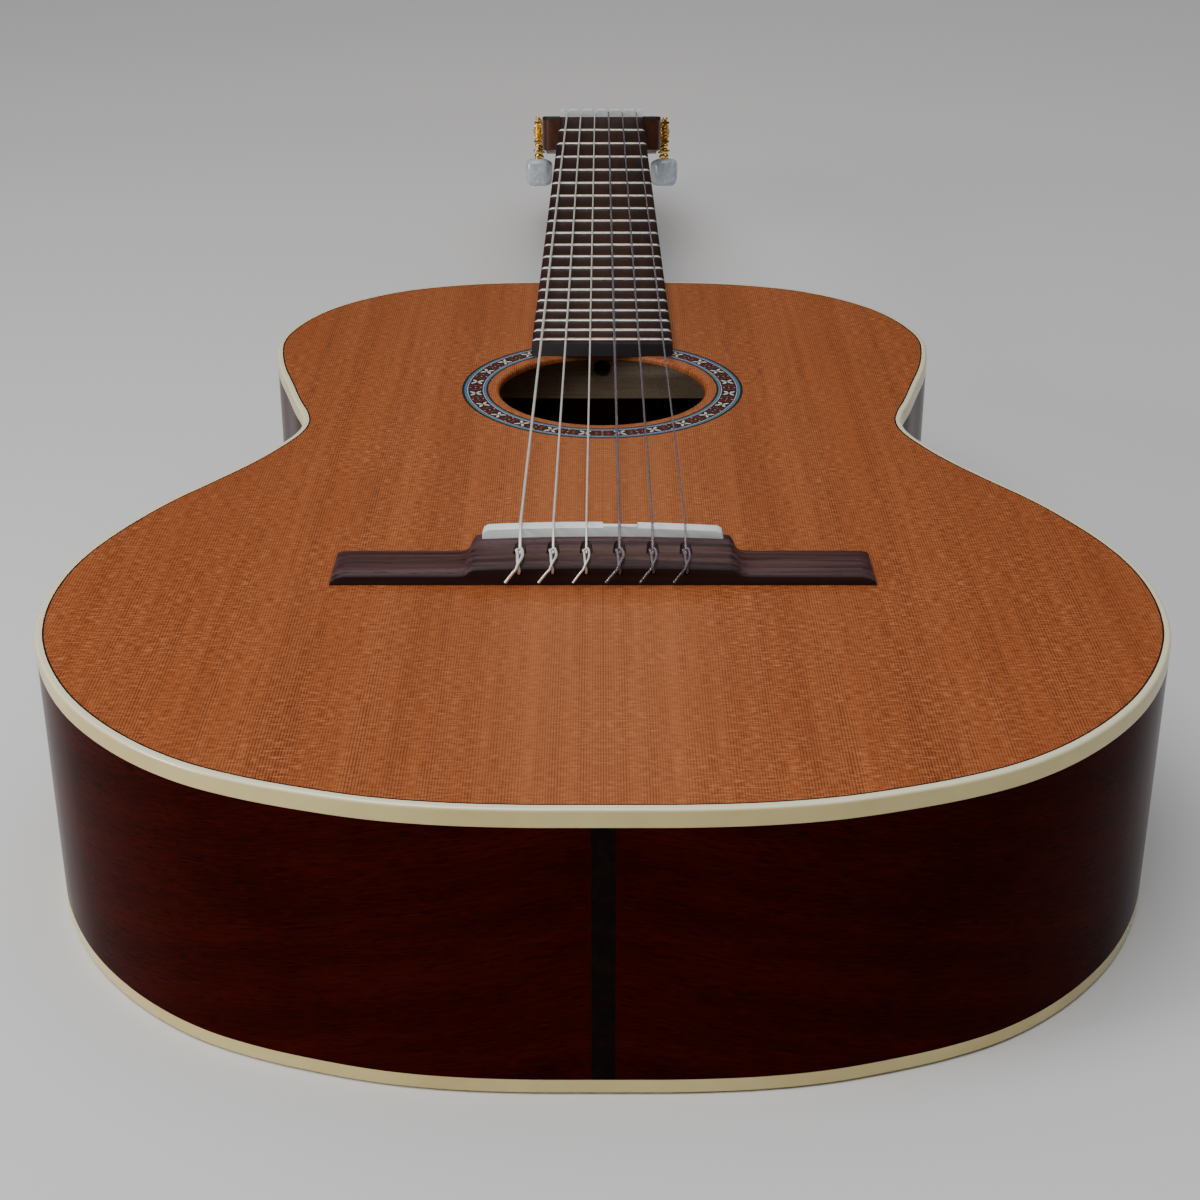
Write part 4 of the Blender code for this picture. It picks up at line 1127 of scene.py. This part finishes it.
def make_pegs():
    """Worm shafts with their turned knobs, the threads, and the pearl buttons."""
    turned = ((0.2, 0.75), (0.9, 0.6), (1.4, 0.15), (1.6, -0.4), (1.5, -0.9), (1.0, -1.4), (1.0, -4.2),
              (1.5, -4.3), (1.5, -13.7), (1.0, -13.8), (1.0, -16.0), (1.5, -16.3), (1.9, -17.0), (1.9, -17.7),
              (1.5, -18.4), (1.3, -18.9), (1.5, -19.9), (2.7, -20.15), (3.1, -20.45), (3.1, -20.95),
              (2.7, -21.25), (1.5, -21.5), (1.3, -22.2), (1.7, -22.8), (2.1, -23.6), (2.1, -24.4),
              (1.9, -25.2), (2.4, -25.7), (2.4, -26.6), (1.0, -27.0))
    for tag, _ in tuners():
        body = "peg_" + tag
        x, s, t_mid = joint_place("turn_" + body)

        def at(q, c, d):
            return head(x + c, s + d, q)

        piece("worm_shaft_" + tag, lathe(turned, at, 32), GOLD, body=body, replaces=[body])
        piece("worm_thread_" + tag, thread(x, s, t_mid), GOLD, body=body)
        piece("button_" + tag, button(x, s), PEARL, body=body)


def thread(x, s, t_mid):
    """Right-handed thread with rounded crest."""
    steps = 28
    turns = 3.8
    count = int(steps * turns)
    core = WORM_R - 0.85
    rings = []
    for i in range(count + 1):
        a = 2 * pi * (i - count / 2) / steps
        t = t_mid + PITCH * a / (2 * pi)
        fade = min(1.0, i / 8.0, (count - i) / 8.0)
        crest = core + (WORM_R + 0.5 - core) * max(0.25, fade)
        dx = -sin(a)
        ds = cos(a)
        ring = []
        for r, h in ((core, -0.74), (crest - 0.12, -0.3), (crest, -0.15), (crest, 0.15), (crest - 0.12, 0.3),
                     (core, 0.74)):
            ring.append(head(x + r * dx, s + r * ds, t + h))
        rings.append(ring)
    return loft(rings)


def button(x, s):
    """Flat rounded pearl button, a little narrower towards its free end."""
    top = -25.6
    low = -43.0
    levels = 18
    rings = []
    for k in range(levels + 1):
        a = pi * k / levels
        u = -cos(a)                             # -1 at the shaft, 1 at the free end
        t = (top + low) / 2 + (low - top) / 2 * copysign(abs(u) ** 0.75, u)
        full = max(0.02, 1.0 - abs(u) ** 3.6) ** (1 / 3.6)
        wide = 8.2 * full * (1.0 - 0.045 * (u + 1))
        deep = 4.6 * (full ** 1.5) * (1.0 - 0.08 * (u + 1))
        ring = []
        for b in circle(36):
            c = cos(b)
            d = sin(b)
            ring.append(head(x + wide * copysign(abs(c) ** 0.62, c),
                             s + deep * copysign(abs(d) ** 0.8, d), t))
        rings.append(ring)
    return loft(rings)


def make_plate_screws():
    """Small domed screws that hold each plate to the head."""
    face = 38.0                                      # x of the plate's outer face
    for label, sign in SIDES:
        heads = []
        for s in (26.2, 53.3, 88.3, 117.6):
            def at(q, c, d):
                return head(sign * q, s + c, -9.0 + d)
            heads.append(lathe([(1.7, face - 0.2), (1.7, face + 0.15), (1.35, face + 0.6), (0.7, face + 0.85),
                                (0.05, face + 0.9)], at, 20))
        piece("plate_screws_" + label, join_shapes(heads), GOLD)


# ---------------------------------------------------------------- build everything
make_body()
make_rosette()
make_board()
make_frets()
make_nut()
make_bridge()
make_strings()
make_head()
make_rollers()
make_pegs()
make_plate_screws()
eased_copy("saddle", "saddle_bone", BONE, 0.25)
for label, _ in SIDES:
    eased_copy("plate_" + label, "plate_gold_" + label, GOLD, 0.15)
eased_copy("heel_cap", "heel_cap_wood", BOARD_WOOD, 0.4)
for node in ("neck_block", "tail_block"):
    eased_copy(node, node + "_wood", BLOCK_WOOD, 0.4)
for node in ("top_bracing", "back_bracing", "top_lining", "back_lining"):
    eased_copy(node, node + "_wood", SPRUCE, 0.4)


# ---------------------------------------------------------------- stage, light and camera
FLOOR_REACH = 6.0                  # metres from here on
FLOOR_Z = -0.0005
SKY_FROM, SKY_TO = 0.45, 1.0       # sine of the height where the dome starts and ends to brighten
SKY_LOW, SKY_HIGH = 0.03, 0.9
SKY_SEEN = 0.42                    # the dome behind the floor, as seen directly
LOOK_DOWN = 0.44703                # radians below level
LAMPS = (                          # name, place, width, depth, spread in degrees, power, colour
    ("key", (-0.35, -0.45, 1.4), 0.9, 0.9, 180.0, 10.8, (1.0, 0.97, 0.93)),
    ("sheen", (0.0, 1.55, 0.98), 0.2, 0.35, 180.0, 1.0, (1.0, 0.62, 0.34)),
    ("left", (-1.5, -0.5, 0.62), 0.6, 0.6, 95.0, 3.5, (1.0, 0.98, 0.95)),
)


def make_stage():
    """Plain floor, a hair under the guitar so the two don't share a plane."""
    mesh = bpy.data.meshes.new("floor")
    mesh.from_pydata([(x * FLOOR_REACH, y * FLOOR_REACH, FLOOR_Z)
                      for x, y in ((-1, -1), (1, -1), (1, 1), (-1, 1))], [], [(0, 1, 2, 3)])
    mesh.materials.append(pale_floor())
    add_object("floor", mesh)


def make_sky():
    """Soft white dome, bright overhead and dim towards the horizon."""
    world = bpy.data.worlds.new("studio")
    world.use_nodes = True
    tree = world.node_tree
    background, direction, split, rise, seen, pick = [tree.nodes["Background"]] + [
        tree.nodes.new("ShaderNode" + kind)
        for kind in ("TexCoord", "SeparateXYZ", "MapRange", "LightPath", "Mix")]
    rise.interpolation_type = "SMOOTHSTEP"
    for socket, number in zip(rise.inputs, (0.0, SKY_FROM, SKY_TO, SKY_LOW, SKY_HIGH)):
        socket.default_value = number
    background.inputs["Color"].default_value = (0.94, 0.97, 1.0, 1.0)
    pick.inputs[3].default_value = SKY_SEEN
    for source, target in ((direction.outputs["Generated"], split.inputs[0]),
                           (split.outputs["Z"], rise.inputs["Value"]),
                           (seen.outputs["Is Camera Ray"], pick.inputs[0]),
                           (rise.outputs["Result"], pick.inputs[2]),
                           (pick.outputs[0], background.inputs["Strength"])):
        tree.links.new(source, target)
    bpy.context.scene.world = world


def make_light():
    """The dome and the soft boxes, all aimed at the guitar's body."""
    make_sky()
    aim = Vector((0.0, 0.05, 0.05))
    for name, at, wide, deep, spread, power, colour in LAMPS:
        data = bpy.data.lights.new(name, "AREA")
        data.energy = power
        data.color = colour
        data.shape = "RECTANGLE"
        data.size = wide
        data.size_y = deep
        data.spread = radians(spread)
        lamp = add_object(name, data)
        lamp.location = at
        lamp.rotation_euler = (aim - Vector(at)).to_track_quat("-Z", "Y").to_euler()


def make_camera():
    """The photograph's viewpoint: behind the tail, looking down along the strings."""
    data = bpy.data.cameras.new("camera")
    data.lens = 63.55
    data.sensor_width = 36.0
    data.clip_start = 0.01
    camera = add_object("camera", data)
    camera.location = (-0.0010, -0.67275, 0.40472)
    camera.rotation_euler = (pi / 2 - LOOK_DOWN, 0.0, 0.0)
    bpy.context.scene.camera = camera


make_stage()
make_light()
make_camera()
